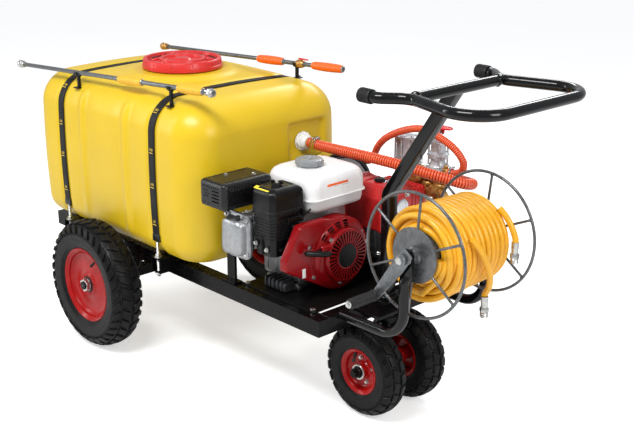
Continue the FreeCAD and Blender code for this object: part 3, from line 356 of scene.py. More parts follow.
def surface(name, colour, rough=0.5, metal=0.0, coat=0.0, mottle=0.08, mottle_mm=60.0,
            grain_mm=1.5, grain=0.15, dust=0.0, sheen=0.0, soft=0.0, edge=0.0, specular=0.5):
    """A finish with uneven colour and gloss, fine grain, optional dust, soft light and a painted highlight along
    edges.
    """
    made = bpy.data.materials.new(name)
    made.use_nodes = True
    nodes = made.node_tree.nodes
    links = made.node_tree.links
    shader = nodes["Principled BSDF"]
    place = nodes.new("ShaderNodeTexCoord").outputs["Object"]
    shader.inputs["Metallic"].default_value = metal
    shader.inputs["Coat Weight"].default_value = coat
    shader.inputs["Coat Roughness"].default_value = 0.06
    shader.inputs["Sheen Weight"].default_value = sheen
    shader.inputs["Specular IOR Level"].default_value = specular
    if soft:
        shader.inputs["Subsurface Weight"].default_value = soft
        shader.inputs["Subsurface Scale"].default_value = 0.012
    tint = nodes.new("ShaderNodeMix")
    tint.data_type = "RGBA"
    tint.inputs[6].default_value = (*[c * (1 - mottle) for c in colour], 1)
    tint.inputs[7].default_value = (*[min(c * (1 + mottle), 1.0) for c in colour], 1)
    cloud = noise(nodes, links, place, mottle_mm)
    links.new(spread(nodes, links, cloud, 0, 1), tint.inputs[0])
    result = tint.outputs[2]
    if dust:
        film = nodes.new("ShaderNodeMix")
        film.data_type = "RGBA"
        film.inputs[7].default_value = (0.30, 0.27, 0.23, 1)
        links.new(spread(nodes, links, noise(nodes, links, place, 22.0, 6.0, 0.65), 0, dust),
                  film.inputs[0])
        links.new(result, film.inputs[6])
        result = film.outputs[2]
    # Painted highlight: edges are coloured lighter, up to edge, where the bevel normal turns away from the face
    # normal.
    if edge:
        bevel = nodes.new("ShaderNodeBevel")
        bevel.samples = 4
        bevel.inputs["Radius"].default_value = 0.0012
        geometry = nodes.new("ShaderNodeNewGeometry")
        turn = nodes.new("ShaderNodeVectorMath")
        turn.operation = "DOT_PRODUCT"
        links.new(bevel.outputs["Normal"], turn.inputs[0])
        links.new(geometry.outputs["Normal"], turn.inputs[1])
        highlight_mask = nodes.new("ShaderNodeMapRange")
        highlight_mask.inputs["From Min"].default_value = 0.99
        highlight_mask.inputs["From Max"].default_value = 0.90
        highlight_mask.inputs["To Max"].default_value = edge
        links.new(turn.outputs["Value"], highlight_mask.inputs["Value"])
        edge_highlight = nodes.new("ShaderNodeMix")
        edge_highlight.data_type = "RGBA"
        edge_highlight.inputs[7].default_value = (*[min(c * 1.6 + 0.10, 1.0) for c in colour], 1)
        links.new(highlight_mask.outputs["Result"], edge_highlight.inputs[0])
        links.new(result, edge_highlight.inputs[6])
        result = edge_highlight.outputs[2]
    links.new(result, shader.inputs["Base Color"])
    gloss = noise(nodes, links, place, mottle_mm * 0.6, 4.0)
    links.new(spread(nodes, links, gloss, max(rough - 0.07, 0.03), min(rough + 0.07, 1.0)),
              shader.inputs["Roughness"])
    if grain:
        bump = nodes.new("ShaderNodeBump")
        bump.inputs["Strength"].default_value = grain
        bump.inputs["Distance"].default_value = grain_mm * MM * 0.5
        links.new(noise(nodes, links, place, grain_mm * 2, 2.0), bump.inputs["Height"])
        links.new(bump.outputs["Normal"], shader.inputs["Normal"])
    return made


# The edge values below set the strength of a painted highlight along edges.
black_paint = surface("black_paint", (0.003, 0.003, 0.0034), 0.16, coat=0.25, mottle=0.2, grain_mm=3,
                      grain=0.05, edge=0.10, specular=0.20)
deck_paint = surface("deck_paint", (0.003, 0.003, 0.003), 0.42, mottle=0.3, mottle_mm=40, grain_mm=1.5,
                     grain=0.3, dust=0.008, specular=0.14)
rail_paint = surface("rail_paint", (0.003, 0.003, 0.0033), 0.26, coat=0.05, mottle=0.25, mottle_mm=30,
                     grain_mm=3, grain=0.02, edge=0.10, specular=0.11)
tank_plastic = surface("tank_plastic", (0.70, 0.475, 0.014), 0.36, mottle=0.035, mottle_mm=160,
                       grain_mm=1.2, grain=0.10, specular=0.4)
lid_plastic = surface("lid_plastic", (0.60, 0.022, 0.020), 0.34, mottle=0.07, grain_mm=0.9, grain=0.12)
strap_web = surface("strap_web", (0.006, 0.006, 0.007), 0.5, mottle=0.2, grain_mm=1.1, grain=0.5,
                    specular=0.3)
strap_mark = surface("strap_mark", (0.75, 0.52, 0.05), 0.5, mottle=0.1, grain_mm=0.8, grain=0.2)
zinc = surface("zinc", (0.55, 0.55, 0.53), 0.32, metal=1.0, mottle=0.15, mottle_mm=8, grain_mm=0.6,
               grain=0.15)
chrome = surface("chrome", (0.66, 0.67, 0.69), 0.12, metal=1.0, mottle=0.06, mottle_mm=20, grain_mm=2,
                 grain=0.03)
cast_metal = surface("cast_metal", (0.40, 0.41, 0.42), 0.40, metal=0.85, mottle=0.12, mottle_mm=14,
                     grain_mm=0.8, grain=0.35)
dark_metal = surface("dark_metal", (0.055, 0.056, 0.06), 0.45, metal=0.6, mottle=0.3, mottle_mm=14,
                     grain_mm=0.9, grain=0.35)
red_gloss = surface("red_gloss", (0.24, 0.003, 0.005), 0.20, coat=0.08, mottle=0.08, mottle_mm=40,
                    grain_mm=3, grain=0.06, edge=0.2, specular=0.22)
rim_paint = surface("rim_paint", (0.36, 0.005, 0.005), 0.26, coat=0.05, mottle=0.07, mottle_mm=30,
                    grain_mm=2.5, grain=0.08, specular=0.25)
pump_paint = surface("pump_paint", (0.50, 0.014, 0.014), 0.34, coat=0.2, mottle=0.12, mottle_mm=25,
                     grain_mm=2.2, grain=0.55)
white_plastic = surface("white_plastic", (0.80, 0.80, 0.80), 0.30, mottle=0.02, grain_mm=0.9, grain=0.06)
# The same white plastic painted darker grey: painted shade for the fuel tank's lower half.
white_in_painted_shade = surface("white_in_painted_shade", (0.62, 0.63, 0.64), 0.34, mottle=0.04, grain_mm=0.9, grain=0.08)
grey_plastic = surface("grey_plastic", (0.24, 0.25, 0.26), 0.28, mottle=0.08, grain_mm=0.9, grain=0.2)
black_plastic = surface("black_plastic", (0.004, 0.004, 0.0045), 0.30, mottle=0.2, grain_mm=0.8, grain=0.15,
                        edge=0.22, specular=0.24)
guard_black = surface("guard_black", (0.005, 0.005, 0.0055), 0.32, mottle=0.3, mottle_mm=10, grain_mm=1.0,
                      grain=0.25, edge=0.6, specular=0.40)
red_plastic = surface("red_plastic", (0.66, 0.03, 0.03), 0.3, mottle=0.05, grain_mm=0.9, grain=0.1)
orange_grip = surface("orange_grip", (0.90, 0.13, 0.012), 0.38, mottle=0.05, mottle_mm=12, grain_mm=0.8,
                      grain=0.15)
yellow_grip = surface("yellow_grip", (0.80, 0.42, 0.015), 0.38, mottle=0.05, mottle_mm=12, grain_mm=0.8,
                      grain=0.15)
brass = surface("brass", (0.52, 0.29, 0.09), 0.34, metal=0.75, mottle=0.22, mottle_mm=9, grain_mm=0.8,
                grain=0.4)
orange_hose = surface("orange_hose", (0.84, 0.125, 0.036), 0.28, mottle=0.07, mottle_mm=18, grain_mm=0.8,
                      grain=0.1)
# Darker orange for the hose grooves: painted shade in the recesses of the same orange hose.
orange_groove_shade = surface("orange_groove_shade", (0.48, 0.034, 0.010), 0.40, mottle=0.1, mottle_mm=18, grain_mm=0.8,
                        grain=0.1)
bright_cast = surface("bright_cast", (0.58, 0.59, 0.61), 0.40, metal=0.75, mottle=0.12, mottle_mm=12,
                      grain_mm=0.8, grain=0.25)
hose_yellow = surface("hose_yellow", (0.80, 0.39, 0.014), 0.30, mottle=0.07, mottle_mm=30, grain_mm=0.9,
                      grain=0.1)
reel_enamel = surface("reel_enamel", (0.13, 0.135, 0.14), 0.30, metal=0.6, mottle=0.25, mottle_mm=12,
                      grain_mm=1.1, grain=0.2)
arm_steel = surface("arm_steel", (0.20, 0.21, 0.22), 0.42, metal=0.8, mottle=0.25, mottle_mm=10,
                    grain_mm=0.8, grain=0.3)
lance_grey = surface("lance_grey", (0.17, 0.175, 0.18), 0.34, metal=0.7, mottle=0.15, mottle_mm=12,
                     grain_mm=0.6, grain=0.1)
rubber_black = surface("rubber_black", (0.010, 0.010, 0.0105), 0.5, mottle=0.25, mottle_mm=14, grain_mm=0.8,
                       grain=0.3, specular=0.35)
tyre_rubber = surface("tyre_rubber", (0.005, 0.005, 0.0055), 0.42, mottle=0.35, mottle_mm=20, grain_mm=1.0,
                      grain=0.4, dust=0.003, specular=0.17)
label_white = surface("label_white", (0.78, 0.78, 0.76), 0.4, mottle=0.04, grain_mm=1, grain=0.05)
label_yellow = surface("label_yellow", (0.85, 0.66, 0.05), 0.4, mottle=0.05, grain_mm=1, grain=0.05)
floor_paint = surface("floor_paint", (0.90, 0.90, 0.90), 0.8, mottle=0.01, mottle_mm=900, grain=0,
                      specular=0.1)


# ---------------------------------------------------------------- wheels
def tyre_section(angle, half, bead, crown):
    """Point and outward direction on the tyre's section. 90 degrees is the crown."""
    middle = bead + (crown - bead) * 0.50
    c = math.cos(math.radians(angle))
    s = math.sin(math.radians(angle))
    power = 2 / 2.5
    reach = crown - middle if s > 0 else middle - bead + 2
    side = half * math.copysign(abs(c) ** power, c)
    out = middle + reach * math.copysign(abs(s) ** power, s)
    way = unit(np.array((math.copysign(abs(c) ** (2 - power), c) / half,
                         math.copysign(abs(s) ** (2 - power), s) / reach)))
    return np.array((side, out)), way


def lug(shape, centre, section, span, start, wide, lean, height, steps=7):
    """Raised tread block. span is its reach over the section, start and wide are wheel angles."""
    low, high = span
    edge = (high - low) * 0.07
    stations = [low] + list(np.linspace(low + edge, high - edge, steps)) + [high]
    rows = []
    for index, angle in enumerate(stations):
        share = (angle - low) / (high - low)
        point, way = section(angle)
        outer_row = index in (0, len(stations) - 1)
        row = []
        for offset, lift in ((-0.5, -1.5), (-0.46, 0.55), (-0.40, 1.0), (0, 1.04), (0.40, 1.0),
                             (0.46, 0.55), (0.5, -1.5)):
            rise = -1.5 if outer_row or lift < 0 else lift * height
            turn = math.radians(start + lean * (share - 0.5) + wide * offset)
            side = point[0] + way[0] * rise
            out = point[1] + way[1] * rise
            row.append(centre + Y * side + (X * math.cos(turn) + Z * math.sin(turn)) * out)
        rows.append(row)
    shape.grid(rows)


def tyre(name, body, node, bead, lug_height, pitches, rows, ribs):
    """Casing with sidewall rings and tread blocks. rows: (span, width share, lean, phase)."""
    low, high, centre = limits(node)
    half = (high[1] - low[1]) / 2
    radius = (high[2] - low[2]) / 2
    half_casing = half - 1.5

    def section(angle):
        return tyre_section(angle, half_casing, bead, radius - lug_height)

    shape = Shape()
    profile = []
    for angle in np.linspace(-58, 238, 75):
        point, way = section(angle)
        ring = 0.0
        for mark in (-22, -16, 6, 10, 170, 174, 196, 202):
            ring += 1.1 * math.exp(-((angle - mark) / 1.7) ** 2)
        profile.append((point[0] + way[0] * ring, point[1] + way[1] * ring))
    shape.lathe(profile, centre, Y, 96, loop=True)
    step = 360 / pitches
    for span, share, lean, phase in rows:
        for index in range(pitches):
            start = step * (index + phase)
            lug(shape, centre, section, span, start, step * share, lean, lug_height)
            mirrored = (180 - span[1], 180 - span[0])
            lug(shape, centre, section, mirrored, start + step * 0.5, step * share, -lean, lug_height)
    for index in range(ribs):
        start = 360 * index / ribs
        for span in ((8, 22), (158, 172)):
            lug(shape, centre, section, span, start, 150 / ribs, 0.0, 1.4, steps=3)
    return piece(name, shape, body, tyre_rubber, [node], crease=32)


def valve(shape, centre, side, radius, angle, paint):
    way = X * math.cos(angle) + Z * math.sin(angle)
    foot = centre + way * radius + Y * side * 22
    tip = foot - way * 20 + Y * side * 16
    knee = foot + (tip - foot) * 0.45
    shape.rod(foot + way * 3, knee, 5.2, 1.5, 20, paint)
    shape.rod(knee, tip, 3.6, 1.0, 20, paint)
    shape.rod(tip - unit(tip - foot) * 7, tip + unit(tip - foot) * 2, 4.4, 1.0, 14, paint)


def rear_rim(name, body, node, side):
    centre = limits(node)[2]
    axis = Y * side
    shape = Shape()
    barrel = [(-40, 116), (-37.5, 117), (-35, 114), (-34, 107), (-31, 105), (31, 105), (34, 107), (35, 114),
              (37.5, 117), (40, 116), (40.8, 113.5), (39.5, 110.5), (36, 107), (33, 103), (30, 102),
              (-30, 102), (-33, 103), (-36, 107), (-39.5, 110.5), (-40.8, 113.5)]
    shape.lathe(barrel, centre, axis, 96, loop=True)
    face = [(31, 103.5), (26, 101), (22, 97), (19, 90), (17.5, 80), (18.5, 66), (21, 54), (22.5, 44),
            (23.5, 38),
            (25, 34), (27, 31.5), (27, 28), (23, 27), (20, 31), (18.5, 38), (18, 46), (16, 56), (14.5, 66),
            (13.5, 80), (15, 92), (19, 100), (25, 104.5), (30, 106)]
    shape.lathe(face, centre, axis, 96, loop=True)
    shape.pipe(centre - axis * 29.5, centre + axis * 27.5, 27, 13.5, 2, 40)
    shape.pipe(centre + axis * 26, centre + axis * 29.6, 24.5, 12.8, 1.0, 40, paint=1)
    valve(shape, centre, side, 101, math.radians(62), 1)
    return piece(name, shape, body, [rim_paint, rubber_black, zinc], [node], crease=30)


def front_rim(name, body, node, side):
    centre = limits(node)[2]
    axis = Y * side
    shape = Shape()
    barrel = [(-31.5, 65), (-29, 66), (-27.5, 62), (-26, 55.5), (26, 55.5), (27.5, 62), (29, 66),
              (31.5, 65),
              (32.3, 62.5), (30, 58.5), (27, 54), (24, 52.5), (-24, 52.5), (-27, 54), (-30, 58.5),
              (-32.3, 62.5)]
    shape.lathe(barrel, centre, axis, 80, loop=True)
    face = [(24, 54), (18, 52), (12, 48), (9, 42), (8, 34), (9, 26), (13, 22.5), (13, 18), (6, 20),
            (4.5, 32), (5.5, 44), (10, 52), (18, 55.5), (24, 56)]
    shape.lathe(face, centre, axis, 80, loop=True)
    shape.rod(centre - axis * 31, centre + axis * 28, 20, 1.5, 40)
    shape.pipe(centre + axis * 26, centre + axis * 32.4, 22, 17.5, 1.2, 40, paint=2)
    shape.pipe(centre + axis * 27, centre + axis * 31.0, 17.5, 14, 0.6, 40, paint=1)
    for index in range(4):
        angle = math.radians(20 + 90 * index)
        spot = centre + (X * math.cos(angle) + Z * math.sin(angle)) * 35 + axis * 8
        shape.bolt(spot, axis, 9, paint=2)
    valve(shape, centre, side, 52, math.radians(110), 1)
    return piece(name, shape, body, [rim_paint, rubber_black, zinc], [node], crease=30)


def wheels():
    rear_rows = [((16, 50), 0.60, 7.0, 0.0), ((56, 88), 0.70, -5.0, 0.28)]
    front_rows = [((20, 56), 0.84, 4.0, 0.0), ((62, 87), 0.86, -3.0, 0.3)]
    for name, side in (("near", -1), ("far", 1)):
        tyre("rear_tyre_tread_" + name, "rear_wheel_" + name, "rear_tyre_" + name, 106, 6.0, 34, rear_rows,
             102)
        rear_rim("rear_rim_dish_" + name, "rear_wheel_" + name, "rear_rim_" + name, side)
        tyre("front_tyre_tread_" + name, "front_wheel_" + name, "front_tyre_" + name, 55, 4.5, 22,
             front_rows, 66)
        front_rim("front_rim_dish_" + name, "front_wheel_" + name, "front_rim_" + name, side)


# ---------------------------------------------------------------- tank
tank_low, tank_high, tank_middle = limits("tank")
tank_top = 815.0             # crown of the skin below the neck
tank_corner = 110.0
top_edge = 92.0
bottom_edge = 60.0
strap_x = 243.0
groove_depth = 5.0
rib_spots = (-122.0, 106.0)
mouth = vec(4, 0, tank_top)


def rounded_plan(x, y, half_x, half_y, radius):
    """Signed distance to a rounded rectangle."""
    dx = np.abs(x) - half_x + radius
    dy = np.abs(y) - half_y + radius
    return np.hypot(np.maximum(dx, 0), np.maximum(dy, 0)) + np.minimum(np.maximum(dx, dy), 0) - radius


def tank_distance(points):
    """Distance outside the tank's skin: rounded box, grooves, ribs, plateau and outlet pocket."""
    x = points[:, 0] - tank_middle[0]
    y = points[:, 1]
    z = points[:, 2]
    half_x = (tank_high[0] - tank_low[0]) / 2
    half_y = tank_high[1]
    rise = (z - 560) / 245
    bulge = 9.0 * rise ** 2
    side = rounded_plan(x, y, half_x, half_y, tank_corner) + bulge
    side = side + 5.0 * (y / half_y) ** 2 * smooth_step(0.75, 1.0, np.abs(x) / half_x)
    dome = 13.0 * (x / half_x) ** 2 + 10.0 * (y / half_y) ** 2
    top = z - tank_top + dome
    plateau = 10.0 * smooth_step(186, 150, np.hypot(points[:, 0] - mouth[0], y))
    top = top - plateau - dome * smooth_step(240, 120, np.hypot(points[:, 0] - mouth[0], y))
    bottom = tank_low[2] - z
    crown = (np.hypot(np.maximum(side + top_edge, 0), np.maximum(top + top_edge, 0))
             + np.minimum(np.maximum(side, top) + top_edge, 0) - top_edge)
    base = (np.hypot(np.maximum(side + bottom_edge, 0), np.maximum(bottom + bottom_edge, 0))
            + np.minimum(np.maximum(side, bottom) + bottom_edge, 0) - bottom_edge)
    skin = np.maximum(crown, base)
    from_strap = np.abs(np.abs(points[:, 0]) - strap_x)
    away = np.hypot(points[:, 0] - mouth[0], y)
    skin = skin + groove_depth * smooth_step(30, 18, from_strap) * smooth_step(150, 175, away)
    on_side = smooth_step(250, 285, np.abs(y)) * smooth_step(350, 420, z) * smooth_step(800, 740, z)
    for spot in rib_spots:
        skin = skin - 10.0 * np.exp(-((points[:, 0] - spot) / 15) ** 2) * on_side
        skin = skin + 5.0 * np.exp(-((points[:, 0] - spot) / 38) ** 2) * on_side
    in_pocket = (smooth_step(52, 70, y) * smooth_step(214, 190, y)
                 * smooth_step(575, 640, z) * smooth_step(712, 696, z))
    return skin + 14.0 * in_pocket * smooth_step(360, 400, points[:, 0])


def tank_skin():
    """A box grid pulled on to the zero of tank_distance."""
    low = tank_low
    high = vec(tank_high[0], tank_high[1], tank_top)
    step = 5.0
    counts = np.round((high - low) / step).astype(int)
    points = []
    faces = []
    start = 0
    for axis in range(3):
        for end in (0, 1):
            u, v = (axis + 1) % 3, (axis + 2) % 3
            a = np.linspace(low[u], high[u], counts[u] + 1)
            b = np.linspace(low[v], high[v], counts[v] + 1)
            grid = np.zeros((len(a), len(b), 3))
            grid[..., u] = a[:, None]
            grid[..., v] = b[None, :]
            grid[..., axis] = high[axis] if end else low[axis]
            points.append(grid.reshape(-1, 3))
            wide = len(b)
            for i in range(len(a) - 1):
                row = start + i * wide
                faces += [(row + j, row + j + 1, row + wide + j + 1,
                           row + wide + j) for j in range(wide - 1)]
            start += len(a) * wide
    points = np.concatenate(points)
    middle = (low + high) / 2
    inner = middle + np.clip(points - middle, -(high - low) / 2 + 112, (high - low) / 2 - 112)
    way = points - inner
    way = way / np.linalg.norm(way, axis=1)[:, None]
    near = np.zeros(len(points))
    far = np.full(len(points), 200.0)
    for _ in range(26):
        half = (near + far) / 2
        outside = tank_distance(inner + way * half[:, None]) > 0
        far = np.where(outside, half, far)
        near = np.where(outside, near, half)
    return inner + way * near[:, None], faces


def tank_profile(x, inset, low_z, count=160):
    """Outline of the tank across its width at x, from low near side over the top to low far side."""
    centre = vec(x, 0, 560)
    path = []
    start = math.radians(-38)
    for angle in np.linspace(start, math.pi - start, count):
        way = vec(0, -math.cos(angle), math.sin(angle))
        near, far = 100.0, 450.0
        for _ in range(24):
            half = (near + far) / 2
            if tank_distance((centre + way * half)[None, :])[0] > 0:
                far = half
            else:
                near = half
        path.append(centre + way * (near + inset))
    return [p for p in path if p[2] > low_z]


def tank():
    points, faces = tank_skin()
    shape = Shape().add(points, faces)
    piece("tank_skin", shape, "chassis", tank_plastic, ["tank"], crease=60)
    neck = Shape()
    thread = []
    for index in range(25):
        thread.append((index, 106 - 1.6 * (index % 6 in (4, 5, 0))))
    profile = [(-2, 98)] + thread + [(29, 104), (29, 98)]
    neck.lathe(profile, mouth, Z, 96, loop=True)
    piece("tank_neck", neck, "chassis", tank_plastic)


def lid():
    low, high, middle = limits("tank_lid")
    base = vec(middle[0], middle[1], low[2])
    radius = (high[0] - low[0]) / 2
    rim_top = 29.0
    shape = Shape()
    profile = [(0, radius - 6), (0, radius - 1), (1, radius), (10, radius), (11, radius - 1.5),
               (13, radius - 2),
               (26, radius - 3), (rim_top - 1, radius - 4.5), (rim_top, radius - 7), (rim_top, radius - 13),
               (rim_top - 1, radius - 15), (20, radius - 17), (19, radius - 20), (19, 76), (20, 73),
               (27, 71), (28, 69), (28, 62), (27, 60), (21, 58), (20, 55), (20, 32), (22, 28), (26, 25),
               (27, 22),
               (27, 0), (15, 0), (15, 109), (0, 109)]
    shape.lathe(profile, base, Z, 120)
    for index in range(12):
        angle = math.radians(30 * index + 8)
        way = X * math.cos(angle) + Y * math.sin(angle)
        start = base + way * (radius - 3.4) + Z * 12
        shape.box(start - vec(1.6, 1.6, 0), start + vec(1.6, 1.6, 13), 0.8)
    for index in range(8):
        angle = math.radians(45 * index)
        way = X * math.cos(angle) + Y * math.sin(angle)
        side = np.cross(Z, way)
        curve = []
        for step in range(9):
            share = step / 8
            curve.append(base + way * (74 + 32 * share) + side * (7 * math.sin(share * math.pi)) + Z * 20.5)
        shape.tube(curve, 3.2, 12)
    for index in range(3):
        angle = math.radians(120 * index + 40)
        way = X * math.cos(angle) + Y * math.sin(angle)
        side = np.cross(Z, way)
        outline = rounded_outline([(-10, 24), (10, 24), (17, 58), (-17, 58)], 5)
        shape.prism(outline, base + Z * 19, side, way, 6.5, 1.2)
    piece("tank_lid_cap", shape, "lid", lid_plastic, ["tank_lid"], crease=40)


def text_mark(name, words, origin, right, up, size, body, material):
    """Small flat printed figures, standing just proud of a surface."""
    letters = bpy.data.curves.new(name, "FONT")
    letters.body = words
    letters.size = size * MM
    letters.extrude = 0.00015
    letters.align_x = "CENTER"
    letters.align_y = "CENTER"
    thing = bpy.data.objects.new(name, letters)
    bpy.context.scene.collection.objects.link(thing)
    bpy.context.view_layer.update()
    mesh = bpy.data.meshes.new_from_object(thing.evaluated_get(bpy.context.evaluated_depsgraph_get()))
    bpy.data.objects.remove(thing)
    points = np.array([v.co for v in mesh.vertices]) / MM
    faces = [tuple(p.vertices) for p in mesh.polygons]
    way = np.cross(right, up)
    placed = origin + np.outer(points[:, 0], right) + np.outer(points[:, 1], up)
    placed = placed + np.outer(points[:, 2], way)
    return piece(name, Shape().add(placed, faces), body, material, crease=20)


def straps():
    shape = Shape()
    for x in (-strap_x, strap_x):
        path = np.array(tank_profile(x, 1.2, 384))
        rows = []
        tangent = np.gradient(path, axis=0)
        tangent = tangent / np.linalg.norm(tangent, axis=1)[:, None]
        outward = np.cross(tangent, X)
        if outward[0][1] > 0:
            outward = -outward
        section = rounded_rectangle(30, 2.6, 1.1, 3)
        for point, out in zip(path, outward):
            rows.append([point + X * u + out * (v + 1.3) for u, v in section])
        shape.grid(rows, wrap=True, caps=True)
        for u in (-11.5, 11.5):
            stitch = path + outward * 2.7 + X * u
            shape.tube(stitch[::2], 0.5, 6)
        for point, out in ((path[0], outward[0]), (path[-1], outward[-1])):
            shape.box(point - vec(17, 4, 12), point + vec(17, 4, 10), 2, paint=1)
    piece("tank_strap_bands", shape, "chassis", [strap_web, guard_black], ["tank_straps"],
          crease=30)
    for x, label in ((strap_x, "a"), (-strap_x, "b")):
        path = np.array(tank_profile(x, 1.2, 384))
        for index, height in enumerate((443, 552, 660, 768)):
            near = path[path[:, 1] < 0]
            spot = near[np.argmin(np.abs(near[:, 2] - height))]
            spot_next = near[np.argmin(np.abs(near[:, 2] - height - 8))]
            up = unit(spot_next - spot)
            right = X
            out = np.cross(right, up)
            name = "gauge_mark_" + label + "_" + str(index)
            text_mark(name, str(50 * (index + 1)), spot + out * 4.0, right, up, 11, "chassis", strap_mark)
            bar = Shape()
            low = spot - up * 9 + out * 4.0
            bar.prism(rounded_rectangle(17, 2.2, 0.6, 2), low, right, up, 0.25)
            piece("gauge_line_" + label + "_" + str(index), bar, "chassis", strap_mark)


def strap_hooks():
    """Threaded hooks: plated rods with coarse thread rings, collars, washers and nuts."""
    low, high = limits("strap_bolts")[:2]
    shape = Shape()
    y_spot = high[1] - 9
    for x in (-strap_x, strap_x):
        for side in (-1, 1):
            foot = vec(x, side * y_spot, 0)
            profile = [(0, 0)]
            bottom = low[2]
            top = high[2] + 4
            turns = int((top - bottom) / 1.6)
            for index in range(turns):
                profile += [(index * 1.6, 4.3), (index * 1.6 + 0.8, 5.0)]
            profile.append((turns * 1.6, 0))
            shape.lathe(profile, foot + Z * bottom, Z, 20)
            shape.pipe(foot + Z * 330.4, foot + Z * 332.6, 12, 5, 0.5, 32)
            shape.hexagon(foot + Z * 332.6, Z, 16, 8)
            shape.hexagon(foot + Z * 276.7, Z, 16, 8)
            shape.pipe(foot + Z * 282.9, foot + Z * 284.9, 12, 5, 0.4, 32)
    piece("strap_hook_bolts", shape, "chassis", zinc, ["strap_bolts"])


# ---------------------------------------------------------------- lances
def lance_axis(node):
    """Front and rear centre points of a lance, from its box."""
    low, high = limits(node)[:2]
    radius = 14
    front = vec(high[0] - 6, 0, high[2] - radius)
    rear = vec(low[0] + 3, 0, low[2] + radius - 1)
    front[1] = high[1] - radius
    rear[1] = low[1] + radius - 1
    return front, rear


def grip(shape, start, end, radius, paint):
    """Moulded grip with finger rings, fat in the middle and slim at its ends."""
    length = np.linalg.norm(end - start)
    profile = [(0, 7.2), (0, radius * 0.78)]
    for share in np.linspace(0.03, 0.97, 49):
        swell = radius * (0.82 + 0.18 * math.sin(share * math.pi) ** 0.7)
        groove = 0.9 * max(0.0, math.cos(share * 2 * math.pi * 7)) ** 6 * smooth_step(0.12, 0.25, share)
        groove *= smooth_step(0.88, 0.75, share)
        profile.append((share * length, swell - groove))
    profile += [(length, radius * 0.78), (length, 7.2)]
    shape.lathe(profile, start, end - start, 40, loop=True, paint=paint)
    heading = unit(end - start)
    side = across(heading)[0]
    for index in range(3):
        spot = start + heading * (length * (0.35 + 0.15 * index))
        for way in (side, -side):
            shape.rod(spot + way * (radius * 0.8), spot + way * (radius * 1.03), 3.2, 0.8, 16, paint)


def spray_lance(name, body, node, far, grip_paint, grips):
    front, rear = lance_axis(node)
    way = unit(rear - front)
    shape = Shape()
    shape.rod(front - way * 4, rear - way * 20, 6.6, 0.5, 28, 0)
    tip_paint = 3 if far else 2
    for start, end in grips:
        grip(shape, front + way * start, front + way * end, 13.6, 1)
    if not far:
        shape.hexagon(front - way * 1, way, 23, 13, 2)
        shape.pipe(front - way * 6, front + way * 2, 10, 6.5, 0.6, 32, 2)
        for index in range(4):
            shape.ring(front + way * (14 + index * 2.6), way, 8.6, 0.9, 32, 6, 2)
    tip = rear - way * 26
    shape.rod(tip, tip + way * 12, 9.5, 1, 24, tip_paint)
    shape.hexagon(tip + way * 10, way, 21, 9, tip_paint)
    shape.lathe([(0, 0), (0, 9), (3, 11.5), (9, 12.5), (15, 10), (18, 7), (18, 2.5), (12, 2), (12, 0)],
                tip + way * 16, way, 32, paint=tip_paint)
    if far:
        spot = front + way * 150
        shape.lathe([(0, 7), (0, 9), (6, 12), (16, 13.5), (26, 12), (32, 9), (32, 7)], spot, way, 28,
                    paint=3)
        shape.rod(spot + way * 16, spot + way * 16 + Z * 17, 4, 1, 18, 3)
        shape.box(spot + way * 16 + vec(-6, -4, 14), spot + way * 16 + vec(34, 4, 18), 1.5, paint=4)
    for start, end in grips:
        for spot in (start, end):
            middle = front + way * spot
            shape.pipe(middle - way * 3, middle + way * 3, 9.4, 6.6, 0.7, 28, 2)
    piece(name, shape, body, [lance_grey, grip_paint, zinc, brass, red_plastic], [node], crease=34)


def lances():
    spray_lance("spray_lance_near", "lance_near", "lance_near", False, yellow_grip, [(40, 142), (311, 420)])
    spray_lance("spray_lance_far", "lance_far", "lance_far", True, orange_grip, [(-5, 112), (238, 345)])


def cradles():
    """Black moulded cradles that hold the lances on the tank top."""
    shape = Shape()
    for node in ("lance_near", "lance_far"):
        front, rear = lance_axis(node)
        way = rear - front
        for x in (-165.0, 290.0):
            rest = front + way * ((x - front[0]) / way[0])
            rest = vec(x, rest[1], rest[2])
            skin = skin_height(x, rest[1])
            trough = []
            for step in range(13):
                angle = math.radians(-200 + 220 * step / 12)
                trough.append((9.0 * math.cos(angle), 9.0 * math.sin(angle)))
            for step in range(12, -1, -1):
                angle = math.radians(-200 + 220 * step / 12)
                trough.append((12.4 * math.cos(angle), 12.4 * math.sin(angle)))
            shape.prism(trough, rest - X * 7, Y, Z, 14, 0.8)
            post_top = rest[2] - 11
            if post_top > skin + 1:
                shape.box(vec(x - 5, rest[1] - 4, skin - 0.5), vec(x + 5, rest[1] + 4, post_top), 1.2)
            shape.box(vec(x - 11, rest[1] - 15, skin - 0.5), vec(x + 11, rest[1] + 15, skin + 3), 1.2)
            shape.bolt(vec(x, rest[1] + 10, skin + 3), Z, 7, paint=1)
    piece("lance_cradles", shape, "chassis", [black_plastic, zinc], ["lance_hooks"])


def skin_height(x, y):
    low, high = 500.0, 860.0
    for _ in range(24):
        half = (low + high) / 2
        if tank_distance(vec(x, y, half)[None, :])[0] > 0:
            high = half
        else:
            low = half
    return low


# ---------------------------------------------------------------- outlet and hoses
def ribbed_hose(shape, path, radius, pitch, depth, paint=0, groove_shade_paint=1):
    """Corrugated hose: evenly spaced rings along a path, with the grooves painted darker as painted shade."""
    points = flow(path, pitch / 4)
    phase = np.arange(len(points)) % 4
    sizes = radius - depth * np.array([0.0, 0.1, 1.0, 0.1])[phase]
    first = len(shape.faces)
    shape.tube(points, sizes, 26, paint=paint)
    for row in range(len(points) - 1):
        # Rows in the grooves take the darker painted-shade material.
        if row % 4 in (1, 2):
            for face in range(first + row * 26, first + row * 26 + 26):
                shape.paint[face] = groove_shade_paint


